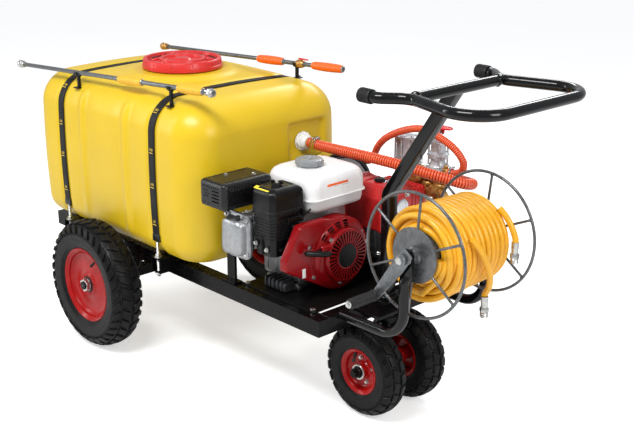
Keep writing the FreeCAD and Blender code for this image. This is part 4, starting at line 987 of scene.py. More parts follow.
def outlet():
    low, _, middle = limits("outlet_fitting")
    centre = vec(low[0] + 12, middle[1], middle[2])
    face = centre.copy()
    face[0] = tank_high[0] - 12.5
    shape = Shape()
    shape.hexagon(face, X, 50, 13)
    shape.pipe(face - X * 0.5, face + X * 3, 29, 15, 0.8, 48)
    shape.lathe([(10, 12), (10, 21), (12, 22.5), (20, 22.5), (22, 20), (24, 17), (30, 16.5), (30, 12)],
                face, X, 48,
                loop=True)
    shape.rod(face + X * 28, face + X * 38, 14.5, 1, 40, 1)
    shape.hexagon(face + X * 30, X, 27, 8, 1)
    shape.pipe(face + X * 36, face + X * 72, 11.8, 9, 0.6, 32, 1)
    piece("outlet_bulkhead", shape, "chassis", [white_plastic, brass], ["outlet_fitting"])


def hose_clip(shape, centre, axis, radius, paint=0):
    """Worm-drive clip: band, housing and screw."""
    axis = unit(axis)
    side, up = across(axis)
    shape.pipe(centre - axis * 4, centre + axis * 4, radius + 0.9, radius, 0.2, 48, paint)
    spot = centre + up * (radius + 3.2)
    outline = rounded_rectangle(12, 6, 1.6, 3)
    shape.prism(outline, spot - axis * 5, side, up, 10, 0.5, paint=paint)
    shape.rod(spot - side * 10, spot + side * 9, 2.6, 0.5, 16, paint)
    shape.hexagon(spot + side * 7, side, 6, 4.5, paint)


def hoses():
    start = limits("suction_hose")[0]
    outlet_middle = limits("outlet_fitting")[2]
    y_out, z_out = outlet_middle[1], outlet_middle[2]
    head_y = 308.0
    path = [(start[0], y_out, z_out), (528, y_out, z_out), (640, y_out + 4, z_out + 2),
            (780, y_out + 26, z_out - 4), (880, y_out + 60, z_out - 20), (945, 238, z_out - 44),
            (935, 296, z_out - 60), (892, head_y, 583), (866, head_y, 583)]
    shape = Shape()
    ribbed_hose(shape, path, 15.8, 7.6, 2.6)
    piece("suction_hose_ribbed", shape, "chassis", [orange_hose, orange_groove_shade],
          ["suction_hose"], crease=70)
    corner = vec(328, 190, 558)
    way = vec(math.cos(math.radians(40)), math.sin(math.radians(40)), 0)
    skin = corner + way * 107
    path = [skin, skin + way * 31, (470, 297, 560), (507, 299, 566), (545, 289, 578), (578, 271, 604),
            (606, 258, 638), (640, 249, 668), (680, 246, 692), (727, 246, 712), (784, 246, 725),
            (840, 247, 716),
            (898, 252, 691), (926, 262, 656), (914, 274, 624), (882, 284, 608), (858, 287, 606)]
    shape = Shape()
    ribbed_hose(shape, path, 10.6, 5.6, 1.6)
    piece("return_hose_ribbed", shape, "chassis", [orange_hose, orange_groove_shade],
          ["return_hose"], crease=70)
    fitting = Shape()
    fitting.rod(skin - way * 6, skin + way * 4, 19, 1.2, 40)
    fitting.hexagon(skin + way * 3, way, 27, 9)
    piece("return_bulkhead", fitting, "chassis", white_plastic)
    clips = Shape()
    for x in (tank_high[0] + 41, tank_high[0] + 52):
        hose_clip(clips, vec(x, y_out, z_out), X, 15.8)
    hose_clip(clips, vec(872, head_y, 583), X, 15.9)
    hose_clip(clips, vec(868, 286.5, 606.3), unit(vec(1, -0.1, 0.1)), 10.8)
    hose_clip(clips, skin + way * 24, way, 10.8)
    piece("hose_clip_bands", clips, "chassis", chrome, ["hose_clips"])


# ---------------------------------------------------------------- engine
crank = vec(0, -48, 422)
cover_x = 580.0
cover_z = 479.0


def fuel_tank():
    low, high = limits("fuel_tank")[:2]
    x0, x1 = low[0] + 3, high[0] - 3
    y0, y1 = low[1] + 3, high[1] - 3
    seam = 579.0
    top = 646.0
    bottom = low[2]
    lift = (top - seam) / 59.0

    def layer(inset, z, radius):
        wide, tall = x1 - x0 - 2 * inset, y1 - y0 - 2 * inset
        outline = np.array(rounded_rectangle(wide, tall, max(radius, 3), 10))
        outline = outline + np.array(((x0 + x1) / 2, (y0 + y1) / 2))
        return [vec(u, v, z) for u, v in outline]

    rows = [layer(48, bottom, 12), layer(26, bottom + 0.4, 22), layer(15, bottom + 3, 24),
            layer(8, bottom + 9, 26),
            layer(5.5, bottom + 17, 28), layer(4.2, seam - 8, 29), layer(4.0, seam - 3.6, 30)]
    lower = Shape().grid(rows, wrap=True, caps=True)
    # The lower half is painted darker than the upper half: painted shade on the same white plastic.
    piece("fuel_tank_lower", lower, "chassis", white_in_painted_shade, crease=50)
    rows = [layer(4.5, seam - 3.8, 33), layer(-2.6, seam - 3.6, 36), layer(-3.2, seam - 3, 36),
            layer(-3.2, seam - 0.8, 36),
            layer(-2.4, seam - 0.1, 36), layer(0.6, seam + 0.3, 34), layer(1.0, seam + 2, 34),
            layer(0.6, seam + 14, 34),
            layer(1.2, seam + 26 * lift, 34), layer(2.6, seam + 36 * lift, 34),
            layer(5.5, seam + 44 * lift, 35),
            layer(10, seam + 50.5 * lift, 36), layer(17, seam + 55 * lift, 38),
            layer(28, seam + 57.6 * lift, 40),
            layer(48, seam + 58.8 * lift, 44), layer(80, top, 24), layer(101, top, 4)]
    upper = Shape().grid(rows, wrap=True, caps=True)
    filler = vec(637, -47, top)
    upper.lathe([(-3, 20), (-3, 28), (2.2, 27), (3, 24.5), (8, 24.2), (8.4, 22), (8.4, 20)], filler, Z, 60,
                loop=True)
    piece("fuel_tank_upper", upper, "chassis", white_plastic, ["fuel_tank"], crease=50)
    note = Shape()
    note.prism(rounded_rectangle(78, 6.5, 0.5, 2), vec(x1 - 1.6, -36, seam + 34), Y, Z, 0.5, 0.1)
    for index in range(5):
        for first, size in ((-38, 20 + index % 3 * 3), (-9, 28 - index % 2 * 6)):
            line = rounded_rectangle(size, 1.2, 0.3, 1)
            note.prism(line, vec(x1 - 1.5, first + size / 2 - 12, seam + 27 - 3.4 * index), Y, Z, 0.4, 0.1,
                       paint=1)
    piece("fuel_label_bar", note, "chassis", [orange_grip, black_plastic])


def fuel_cap():
    low, high, middle = limits("fuel_cap")
    base = vec(middle[0], middle[1], low[2] + 0.2)
    radius = (high[0] - low[0]) / 2
    rows = []
    turn = np.linspace(0, 2 * math.pi, 144, endpoint=False)
    lobes = 1.4 * np.maximum(np.cos(turn * 12), -0.2)
    for height, size, share in ((0, radius - 3, 1), (1.5, radius - 1.5, 1), (12, radius - 1.5, 1),
                                (15, radius - 3, 0.7),
                                (17, radius - 7, 0.3), (18, radius - 13, 0), (17.4, radius - 19, 0),
                                (16.6, 8, 0)):
        reach = size - lobes * share - 0.2
        rows.append(base + np.outer(reach * np.cos(turn), X) + np.outer(reach * np.sin(turn), Y)
                    + Z * height)
    shape = Shape().grid(rows, wrap=True, caps=True)
    for angle in (0.4, 0.4 + math.pi / 2):
        way = X * math.cos(angle) + Y * math.sin(angle)
        shape.tube([base + way * -21 + Z * 17, base + Z * 17.6, base + way * 21 + Z * 17], 1.6, 8)
    piece("fuel_cap_lobed", shape, "fuel_cap", grey_plastic, ["fuel_cap"], crease=34)


def air_cleaner():
    low, high, middle = limits("air_cleaner_cover")
    x0, x1, y0, y1 = low[0], high[0], low[1], high[1]
    seam = low[2]
    top = seam + 65

    def layer(inset, z, chamfer):
        points = rounded_outline([(x0 + inset + chamfer, y0 + inset), (x1 - inset - chamfer, y0 + inset),
                                  (x1 - inset, y0 + inset + chamfer),
                                  (x1 - inset, y1 - inset - chamfer * 0.5),
                                  (x1 - inset - chamfer * 0.5, y1 - inset),
                                  (x0 + inset + chamfer * 0.5, y1 - inset),
                                  (x0 + inset, y1 - inset - chamfer * 0.5),
                                  (x0 + inset, y0 + inset + chamfer)], 4, 4)
        return [vec(u, v, z) for u, v in points]

    rows = [layer(3, seam, 11), layer(0.6, seam + 1, 12), layer(0.4, seam + 5, 12),
            layer(1.6, seam + 6.5, 12),
            layer(2.0, seam + 30, 12), layer(2.6, top - 16, 12), layer(4.5, top - 10, 12),
            layer(9, top - 5, 11),
            layer(14, top - 2, 10), layer(18, top, 9), layer(21, top, 8), layer(22.5, top - 1.6, 8),
            layer(40, top - 1.4, 5)]
    cover = Shape().grid(rows, wrap=True, caps=True)
    knob = vec(middle[0], middle[1], top - 2)
    cover.lathe([(0, 17), (2, 17), (3, 15), (4, 10), (7, 9), (9, 8), (9, 0)], knob, Z, 36)
    for angle in (0.7, 0.7 + math.pi):
        way = X * math.cos(angle) + Y * math.sin(angle)
        side = np.cross(Z, way)
        outline = rounded_outline([(3, 0), (16, 0), (18, 10), (8, 11)], 3)
        cover.prism(outline, knob + Z * 4 - side * 1.6, way, Z, 3.2, 0.8)
    cover.bolt(knob + Z * 8, Z, 8, paint=1)
    piece("air_cleaner_top", cover, "chassis", [black_plastic, zinc],
          ["air_cleaner_cover"], crease=30)
    label = Shape()
    label.prism(rounded_rectangle(58, 12, 1, 2), vec(x0 + 40, y0 + 13.5, top - 3.0),
                X, unit(vec(0, 1, 0.42)), 0.5, 0.1)
    piece("air_cleaner_label", label, "chassis", label_yellow)
    low, high, middle = limits("air_cleaner_case")
    case = Shape()
    levels = []
    z = low[2]
    levels += [(12, z), (7, z + 2), (5, z + 8)]
    for index in range(7):
        ridge = z + 52 + index * 8.5
        levels += [(2.6, ridge - 3.2), (0.8, ridge - 2), (0.8, ridge + 1), (2.6, ridge + 2.2)]
    levels += [(1.6, high[2] - 7), (0.4, high[2] - 5.5), (0.4, high[2] - 0.5), (3, high[2] - 0.2)]
    x0, x1, y0, y1 = low[0], high[0], low[1], high[1]
    case.grid([layer(inset, height, 12) for inset, height in levels], wrap=True, caps=True)
    for spot in ((x0 + 22, z + 34), (x0 + 66, z + 24)):
        case.rod(vec(spot[0], y0 + 5, spot[1]), vec(spot[0], y0 - 1.5, spot[1]), 8, 1.2, 28)
        case.bolt(vec(spot[0], y0 - 1.2, spot[1]), -Y, 9, paint=1)
    case.box(vec(x0 + 4, y0 + 1, z + 4), vec(x0 + 8, y0 + 5, z + 46), 1.2)
    for x in (x0 + 42, x0 + 47):
        case.box(vec(x, y0 - 0.4, z + 6), vec(x + 2, y0 + 6, z + 62), 0.8)
    piece("air_cleaner_base", case, "chassis", [black_plastic, zinc], ["air_cleaner_case"],
          crease=30)


def perforated_sheet(shape, outline, holes, origin, right, up, thick, paint=0):
    """Flat sheet with real openings, filled by triangulating between its outline and its holes."""
    work = bmesh.new()
    loops = [outline] + list(holes)
    for points in loops:
        made = [work.verts.new((u, v, 0)) for u, v in points]
        for a, b in zip(made, made[1:] + made[:1]):
            work.edges.new((a, b))
    bmesh.ops.triangle_fill(work, edges=work.edges[:], use_beauty=True, use_dissolve=False)
    work.verts.ensure_lookup_table()
    work.verts.index_update()
    flat = np.array([v.co[:2] for v in work.verts])
    faces = [tuple(v.index for v in face.verts) for face in work.faces]
    rims = [[v.index for v in edge.verts] for edge in work.edges if len(edge.link_faces) == 1]
    work.free()
    right = unit(right)
    up = unit(up)
    way = np.cross(right, up)
    front = origin + np.outer(flat[:, 0], right) + np.outer(flat[:, 1], up)
    count = len(flat)
    every = list(faces) + [tuple(i + count for i in reversed(face)) for face in faces]
    every += [(a, b, b + count, a + count) for a, b in rims]
    return shape.add(np.vstack([front, front + way * thick]), every, paint)


def slot_outline(u, v, wide, tall, radius, lean=0.0):
    points = np.array(rounded_rectangle(wide, tall, radius, 3))
    points[:, 0] += points[:, 1] * lean
    return points + np.array((u, v))


def muffler_guard():
    low, high = limits("muffler_guard")[:2]
    x0, x1, y0, y1, z0, z1 = low[0], high[0], low[1], high[1], low[2], high[2]
    wide = x1 - x0
    deep = y1 - y0
    tall = z1 - z0
    soft = 13.0
    shape = Shape()
    top_holes = [slot_outline(8 + 9.4 * i, 5.5, 5.2, 10, 1.5, -0.35) for i in range(15)]
    top_holes += [slot_outline(10 + 9.4 * i, wide - 32, 5.2, 8, 1.5, 0.35) for i in range(14)]
    outline = [(0, 0), (deep - 2 * soft, 0), (deep - 2 * soft, wide - 2 * soft), (0, wide - 2 * soft)]
    perforated_sheet(shape, outline, top_holes, vec(x1 - soft, y0 + soft, z1 - 1.6), Y, -X, 1.6)
    end_holes = [slot_outline(58, 10 + 9.5 * i, 32, 5.2, 1.5) for i in range(4)]
    end_holes += [slot_outline(6 + 9.2 * i, 47.5, 5, 6.5, 1.5, -0.3) for i in range(8)]
    end_holes += [slot_outline(12 + 19 * i, -1, 13, 5, 1.2) for i in range(4)]
    turn = np.linspace(0, 2 * math.pi, 6, endpoint=False)
    for u, v in ((12, 20), (22, 20), (17, 28), (27, 28), (12, 36), (22, 36)):
        end_holes.append([(u + 3.2 * math.cos(a), v + 3.2 * math.sin(a)) for a in turn])
    outline = [(0, -7), (wide - 2 * soft, -7), (wide - 2 * soft, tall - 2 * soft + 3),
               (0, tall - 2 * soft + 3)]
    perforated_sheet(shape, outline, end_holes, vec(x0 + soft, y0 + 1.6, z0 + soft), X, Z, 1.6)
    side_holes = [slot_outline(8 + 9.6 * i, 46, 5.4, 8, 1.5, -0.3) for i in range(15)]
    outline = [(0, 0), (deep - 2 * soft, 0), (deep - 2 * soft, tall - 2 * soft), (0, tall - 2 * soft)]
    perforated_sheet(shape, outline, side_holes, vec(x0 + 1.6, y0 + soft, z0 + soft), Y, Z, 1.6)
    perforated_sheet(shape, outline, side_holes, vec(x1, y0 + soft, z0 + soft), Y, Z, -1.6)
    outline = [(0, 0), (wide - 2 * soft, 0), (wide - 2 * soft, tall - 2 * soft), (0, tall - 2 * soft)]
    perforated_sheet(shape, outline, [], vec(x0 + soft, y1, z0 + soft), X, Z, 1.6)
    outline = [(0, 0), (wide - 2 * soft, 0), (wide - 2 * soft, deep - 2 * soft), (0, deep - 2 * soft)]
    perforated_sheet(shape, outline, [], vec(x0 + soft, y0 + soft, z0), X, Y, 1.6)
    corner_frame(shape, low, high, soft)
    shape.bolt(vec(x0 + 30, y0 + 70, z1 - 0.5), Z, 8, paint=1)
    shape.bolt(vec(x0 + 74, y0 + 132, z1 - 0.5), Z, 8, paint=1)
    shape.bolt(vec(x1 - 0.4, y1 - 24, z0 + 26), X, 9, paint=1)
    piece("muffler_heat_guard", shape, "chassis", [guard_black, zinc], ["muffler_guard"],
          crease=35)


def corner_frame(shape, low, high, soft):
    """Rounded edges of a sheet box: quarter-round strips along the edges and balls at the corners."""
    wall = 1.6
    quarter = np.linspace(0, math.pi / 2, 7)
    centre_low = low + soft
    centre_high = high - soft
    for axis in range(3):
        u, v = (axis + 1) % 3, (axis + 2) % 3
        for su in (0, 1):
            for sv in (0, 1):
                rows = []
                for reach, angles in ((soft, quarter), (soft - wall, quarter[::-1])):
                    for angle in angles:
                        across_u = reach * math.cos(angle)
                        across_v = reach * math.sin(angle)
                        ends = []
                        for end in (centre_low[axis], centre_high[axis]):
                            point = np.zeros(3)
                            point[axis] = end
                            point[u] = centre_high[u] + across_u if su else centre_low[u] - across_u
                            point[v] = centre_high[v] + across_v if sv else centre_low[v] - across_v
                            ends.append(point)
                        rows.append(ends)
                rows = np.array(rows).transpose(1, 0, 2)
                shape.grid(rows, wrap=True, caps=True)
    for sx in (0, 1):
        for sy in (0, 1):
            for sz in (0, 1):
                centre = vec(centre_high[0] if sx else centre_low[0],
                             centre_high[1] if sy else centre_low[1],
                             centre_high[2] if sz else centre_low[2])
                sign = vec(1 if sx else -1, 1 if sy else -1, 1 if sz else -1)
                shells = []
                for reach in (soft, soft - wall):
                    rows = []
                    for lat in quarter:
                        rows.append([centre + sign * reach * vec(math.cos(lat) * math.cos(lon),
                                                                 math.cos(lat) * math.sin(lon),
                                                                 math.sin(lat))
                                     for lon in quarter])
                    shells.append(rows)
                shape.grid(shells[0])
                shape.grid(shells[1])


# ---------------------------------------------------------------- more helpers
def windowed(shape, outer, inner, open_cells, paint=0):
    """Two skins of a closed ring, with the marked cells left open and their edges walled."""
    outer = np.asarray(outer, float)
    inner = np.asarray(inner, float)
    deep, wide = outer.shape[:2]
    count = deep * wide
    faces = []
    for i in range(deep - 1):
        for j in range(wide):
            if open_cells[i][j]:
                continue
            k = (j + 1) % wide
            a, b, c, d = i * wide + j, i * wide + k, (i + 1) * wide + k, (i + 1) * wide + j
            faces.append((a, b, c, d))
            faces.append((d + count, c + count, b + count, a + count))
            edges = [(i - 1, j, a, b), (i, k, b, c), (i + 1, j, c, d), (i, (j - 1) % wide, d, a)]
            for row, column, first, second in edges:
                if row < 0 or row >= deep - 1 or open_cells[row][column]:
                    faces.append((second, first, first + count, second + count))
    return shape.add(np.vstack([outer.reshape(-1, 3), inner.reshape(-1, 3)]), faces, paint)


def turned_rows(profile, origin, sides, start=0.0):
    """Rings about the X direction: (forward, radius) points turned from +Y towards +Z."""
    turn = np.linspace(0, 2 * math.pi, sides, endpoint=False) + start
    spokes = np.outer(np.cos(turn), Y) + np.outer(np.sin(turn), Z)
    return np.array([origin + X * ahead + spokes * radius for ahead, radius in profile])


def finish_node(node, material, bevel_mm=1.0, limit=35):
    """Keeps a CAD node and gives it softened edges and its material."""
    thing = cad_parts[node]
    weld = thing.modifiers.new("weld", "WELD")
    weld.merge_threshold = 1e-5
    flat = thing.modifiers.new("flat", "DECIMATE")
    flat.decimate_type = "DISSOLVE"
    flat.angle_limit = math.radians(1.5)
    soft = thing.modifiers.new("soft", "BEVEL")
    soft.width = bevel_mm * MM
    soft.segments = 2
    soft.limit_method = "ANGLE"
    soft.angle_limit = math.radians(limit)
    soft.harden_normals = False
    thing.data.materials.clear()
    thing.data.materials.append(material)


def weld_bead(shape, path, radius=2.6, paint=0):
    """Row of overlapping weld ripples along a path."""
    points = flow(path, 1.1)
    ripple = 1 + 0.18 * np.sin(np.arange(len(points)) * 2 * math.pi / 4)
    shape.tube(points, radius * ripple, 8, paint=paint)


# ---------------------------------------------------------------- engine castings
def engine_block():
    low, high = limits("engine_block")[:2]
    shape = Shape()
    x0, x1 = 545.0, high[0]
    y0, y1 = crank[1] - 90, high[1]
    shape.box(vec(x0, y0, low[2] + 12), vec(x1, y1, high[2]), 3, 18, axis=0)
    for x in (x0 + 14, x0 + 52, x0 + 92, x0 + 130):
        shape.box(vec(x, y0 - 3, low[2] + 20), vec(x + 5, y1 + 3, high[2] - 24), 1.5, 20, axis=0)
    shape.pipe(vec(x0 - 8, crank[1], crank[2]), vec(x0 + 2, crank[1], crank[2]), 34, 12.5, 2, 48)
    for index in range(6):
        angle = math.radians(60 * index + 20)
        spot = vec(x0 - 1, crank[1] + 62 * math.cos(angle), crank[2] + 62 * math.sin(angle))
        shape.bolt(spot, -X, 10, paint=2)
    for index in range(9):
        y = crank[1] - 96 - 12.5 * index
        reach = 3 if index % 2 else 0
        outline = rounded_rectangle(58 + reach, 98 + reach, 8, 4)
        shape.prism(outline, vec(cover_x - 3, y - 1.6, cover_z + 2), X, -Z, 3.2, 0.8)
    shape.box(vec(cover_x - 25, low[1] + 2, cover_z - 39), vec(cover_x + 20, crank[1] - 85, cover_z + 41),
              3, 10, axis=1)
    shape.rod(vec(cover_x - 8, low[1] + 62, cover_z + 40), vec(cover_x - 8, low[1] + 62, cover_z + 54), 8,
              1, 20, 1)
    shape.box(vec(cover_x + 18, -236, 470), vec(606, -196, 512), 2, 6, axis=0)
    piece("engine_castings", shape, "chassis", [cast_metal, dark_metal, zinc],
          ["engine_block"],
          crease=32)
    foot = Shape()
    z = low[2]
    foot.box(vec(565, -153, z), vec(690, 37, z + 13), 2.5, 10)
    for y in (-146, 14):
        foot.box(vec(556, y, z), vec(698, y + 16, z + 9), 2, 5)
        for x in (568, 686):
            foot.bolt(vec(x, y + 8, z + 9), Z, 12, paint=1)
    foot.box(vec(604, -190, z + 3), vec(690, -150, z + 30), 4, 8, axis=0)
    for index in range(5):
        x = 612 + 16 * index
        foot.box(vec(x, -194, z + 6), vec(x + 5, -150, z + 36), 1.5, 3, axis=0)
    piece("engine_foot", foot, "chassis", [dark_metal, zinc], crease=32)


def valve_cover():
    low, high, middle = limits("valve_cover")
    wide, tall = 88.0, 114.0
    face = low[1]
    back = high[1]
    centre = vec(middle[0], 0, middle[2])
    stations = [(-9, back - 1), (-10, back - 2), (-10, back - 9), (-9, back - 10), (-1, back - 10.5),
                (1, back - 12),
                (2.5, back - 22), (4, face + 12), (6, face + 6), (10, face + 2.5), (16, face + 0.6),
                (22, face)]
    rows = []
    for inset, y in stations:
        corners = [(-wide / 2 + inset, -tall / 2 + inset), (wide / 2 - inset, -tall / 2 + inset + 4),
                   (wide / 2 - inset + 1, tall / 2 - inset - 6), (-wide / 2 + inset + 6, tall / 2 - inset)]
        outline = rounded_outline(corners, max(22 - inset * 0.4, 6), 6)
        rows.append([vec(centre[0] + u, y, centre[2] + v) for u, v in outline])
    shape = Shape().grid(rows, wrap=True, caps=True)
    for u, v in ((-43, -51), (43, -47), (42, 49), (-37, 54)):
        shape.rod(vec(centre[0] + u, back - 10, centre[2] + v),
                  vec(centre[0] + u, back - 16, centre[2] + v), 8.5, 1.5)
        shape.bolt(vec(centre[0] + u, back - 15.5, centre[2] + v), -Y, 9, paint=1)
    shape.rod(vec(centre[0] + 20, face + 18, centre[2] + tall / 2 - 8),
              vec(centre[0] + 20, face + 18, centre[2] + tall / 2 + 5), 7,
              1.5, 24, 2)
    piece("rocker_cover", shape, "chassis", [cast_metal, zinc, rubber_black],
          ["valve_cover"], crease=40)


def spark_lead():
    """Plug cap and the ignition lead that loops over the cylinder."""
    shape = Shape()
    start = vec(cover_x + 26, -246, cover_z + 34)
    shape.tube([start, start + vec(10, -4, 6), start + vec(20, -3, 16)], [8.5, 8, 6.5], 16)
    path = flow([start + vec(18, -3, 14), start + vec(34, -8, 26), start + vec(44, -2, 4),
                 start + vec(46, 16, -30),
                 start + vec(60, 40, -44)], 4)
    shape.tube(path, 3.4, 12)
    piece("spark_plug_lead", shape, "chassis", rubber_black)


def fan_shroud():
    low, high = limits("fan_shroud")[:2]
    front = high[0]
    back = low[0]
    radius = 104.0
    arc = [(radius * math.cos(math.radians(a)), radius * math.sin(math.radians(a)))
           for a in range(-114, 103, 6)]
    corners = [(-20, 101), (-58, 110), (-150, 110), (-202, 24), (-202, -6), (-56, -90)]
    wing = rounded_outline(corners, [2, 40, 16, 16, 16, 16], 5)[6:30]
    outline = np.array(arc + list(wing))
    inward = inset_normals(outline)

    wing_back = 742.0

    def ring_row(inset, x):
        flat = outline + inward * inset
        depths = [x if index < len(arc) else max(x, wing_back) for index in range(len(flat))]
        return [vec(depth, crank[1] + u, crank[2] + v) for depth, (u, v) in zip(depths, flat)]

    shape = Shape()
    outer = [ring_row(0, back), ring_row(0, front - 6), ring_row(0.5, front - 3.5),
             ring_row(1.8, front - 1.6),
             ring_row(4, front - 0.4), ring_row(6, front)]
    inner = [ring_row(3, back), ring_row(3, front - 6), ring_row(3.3, front - 4.5),
             ring_row(4, front - 3.2),
             ring_row(5.4, front - 2.2), ring_row(6, front - 2)]
    closed = [[False] * len(outline) for _ in range(5)]
    windowed(shape, outer, inner, closed)
    circle = [(97 * math.cos(a), 97 * math.sin(a)) for a in np.linspace(0, 2 * math.pi, 72, endpoint=False)]
    perforated_sheet(shape, outline + inward * 6, [circle], vec(front, crank[1], crank[2]), Y, Z, -2)
    sides = 120
    profile = [(-1, 99.5), (1, 99.5), (3, 98.4), (4.2, 97), (7, 91.5), (7.8, 90), (10.2, 84.6),
               (10.8, 83.2), (12.2, 78.6),
               (12.4, 77.4), (9, 76.6), (1, 76.6)]
    thin = [(ahead - 2.2, size - 0.8) for ahead, size in profile]
    origin = vec(front, crank[1], crank[2])
    opened = [[False] * sides for _ in range(len(profile) - 1)]
    for first in (78, 96, 114, 132):
        for degree in range(first, first + 15, 3):
            if (degree - first) // 3 % 5 != 4:
                for row in (3, 5, 7):
                    opened[row][int(degree / 3)] = True
    windowed(shape, turned_rows(profile, origin, sides), turned_rows(thin, origin, sides), opened)
    for u, v in ((-118, 44), (-104, -44)):
        shape.bolt(vec(front - 0.4, crank[1] + u, crank[2] + v), X, 8, paint=1)
    for ring_radius in (108, 113):
        ridge = [vec(front - 0.2, crank[1] + ring_radius * math.cos(a),
                     crank[2] + ring_radius * math.sin(a))
                 for a in np.radians(np.arange(140, 215, 5))]
        shape.tube(flow(ridge, 5), 1.2, 8)
    piece("engine_shroud", shape, "chassis", [red_gloss, zinc], ["fan_shroud"], crease=35)
    tag = Shape()
    tag.prism(rounded_rectangle(12, 26, 1, 2), vec(front + 0.2, crank[1] - 138, crank[2] - 24), Y, Z, 0.4,
              0.1)
    piece("shroud_label", tag, "chassis", label_white)


def recoil_cover():
    high = limits("recoil_cover")[1]
    front = high[0]
    shape = Shape()
    slots = 36
    sides = slots * 5
    origin = vec(front, crank[1], crank[2])
    profile = [(-26, 76), (-8, 76), (-4.4, 75.4), (-2.2, 73.6), (-1.0, 71.6), (-0.5, 70), (-0.6, 68.6),
               (-0.2, 53), (-0.2, 37.5),
               (-1.2, 36.4), (-1.4, 34), (-2.6, 32)]
    thin = [(ahead - 2.4, max(size - 2.4, 5)) if index < 5 else (ahead - 2.6, size)
            for index, (ahead, size) in enumerate(profile)]
    opened = [[False] * sides for _ in range(len(profile) - 1)]
    for cell in range(sides):
        if cell % 5 < 3:
            opened[6][cell] = True
            opened[7][cell] = True
    windowed(shape, turned_rows(profile, origin, sides), turned_rows(thin, origin, sides), opened)
    for index in range(3):
        angle = math.radians(120 * index + 15)
        way = Y * math.cos(angle) + Z * math.sin(angle)
        shape.rod(origin + way * 79 - X * 20, origin + way * 79 - X * 10, 7, 1.2, 24)
        shape.bolt(origin + way * 79 - X * 10, X, 8, paint=1)
    guide = vec(781, crank[1] - 70, 458)
    shape.pipe(guide - Y * 22, guide + Y * 10, 10, 4, 2, 32)
    piece("recoil_housing", shape, "chassis", [red_gloss, zinc], ["recoil_cover"], crease=30)
    disc = Shape()
    disc.lathe([(-5, 33.6), (-1.4, 33.6), (-0.8, 33), (-0.5, 31.6), (-0.5, 29.6), (-1.3, 29), (-1.3, 0)],
               origin, X, 72)
    piece("recoil_centre", disc, "chassis", black_plastic)
    dark = Shape()
    dark.lathe([(0, 20), (0, 71), (-1.5, 71), (-1.5, 20)], origin - X * 14, X, 72, loop=True)
    for index in range(24):
        angle = math.radians(15 * index)
        way = Y * math.cos(angle) + Z * math.sin(angle)
        dark.box(origin - X * 13 + way * 30 - vec(0, 1.5, 1.5),
                 origin - X * 10 + way * 62 + vec(0, 1.5, 1.5), 0.5)
    piece("recoil_inner_plate", dark, "chassis", black_plastic)


def recoil_handle():
    home = vec(798, -165, 458)
    way = unit(vec(1, 1, 0))
    rows = []
    turn = np.linspace(0, 2 * math.pi, 24, endpoint=False)
    for share in np.linspace(-1, 1, 21):
        swell = (1 - abs(share) ** 8) ** 0.5 if abs(share) < 1 else 0.15
        bow = -5 * (1 - share ** 2)
        thick = (10.4 - 1.2 * share ** 2) * max(swell, 0.2)
        centre = home + way * (share * 37) + unit(vec(1, -1, 0)) * (bow * -0.6)
        other = unit(vec(1, -1, 0))
        rows.append([centre + other * (thick * 0.9 * math.cos(a))
                     + Z * (min(thick, 8.4) * 0.9 * math.sin(a)) for a in turn])
    shape = Shape().grid(rows, wrap=True, caps=True)
    shape.hexagon(home + unit(vec(1, -1, 0)) * 8, unit(vec(1, -1, 0)), 9, 3, 1)
    shape.tube([home + unit(vec(-1, 1, 0)) * 4, vec(783, -150, 458), vec(781, -135, 458)], [6, 5, 3.4], 16)
    rope = flow([(783, -150, 458), (781, -130, 458), (781, -60, 458), (781, -8, 458)], 2.2)
    twist = 1.9 + 0.25 * np.sin(np.arange(len(rope)) * 1.6)
    shape.tube(rope, twist, 8, paint=1)
    piece("pull_handle", shape, "recoil_handle", [black_plastic, rubber_black],
          ["recoil_handle"])


def control_levers():
    for node, body, length in (("throttle_lever", "throttle", 32), ("choke_lever", "choke", 36)):
        low, high, middle = limits(node)
        pivot = vec(low[0], high[1] - 5, middle[2])
        shape = Shape()
        shape.rod(pivot, pivot + X * 15, 4.6, 0.8, 24, 1)
        outline = rounded_outline([(6, -6), (6, 6), (-length + 8, 4), (-length - 4, 7), (-length - 4, -4),
                                   (-length + 8, -4)],
                                  3)
        shape.prism(outline, pivot + X * 9, Y, Z, 3, 0.8)
        shape.rod(pivot + vec(7, -length, 0), pivot + vec(17, -length, 0), 6, 2, 24)
        shape.bolt(pivot + X * 13, X, 7, paint=1)
        piece(node + "_arm", shape, body, [black_plastic, zinc], [node])
    shape = Shape()
    shape.box(vec(700, -232, 462), vec(726, -150, 466), 1)
    shape.box(vec(712, -150, 536), vec(722, -146, 560), 1)
    shape.box(vec(722.5, -206, 530), vec(726, -150, 546), 1)
    path = flow([(724, -150, 540), (722, -120, 556), (716, -96, 562), (700, -80, 566)], 5)
    shape.tube(path, 2.2, 10)
    shape.bolt(vec(726, -158, 538), X, 7)
    piece("control_plate", shape, "chassis", [black_plastic, zinc])


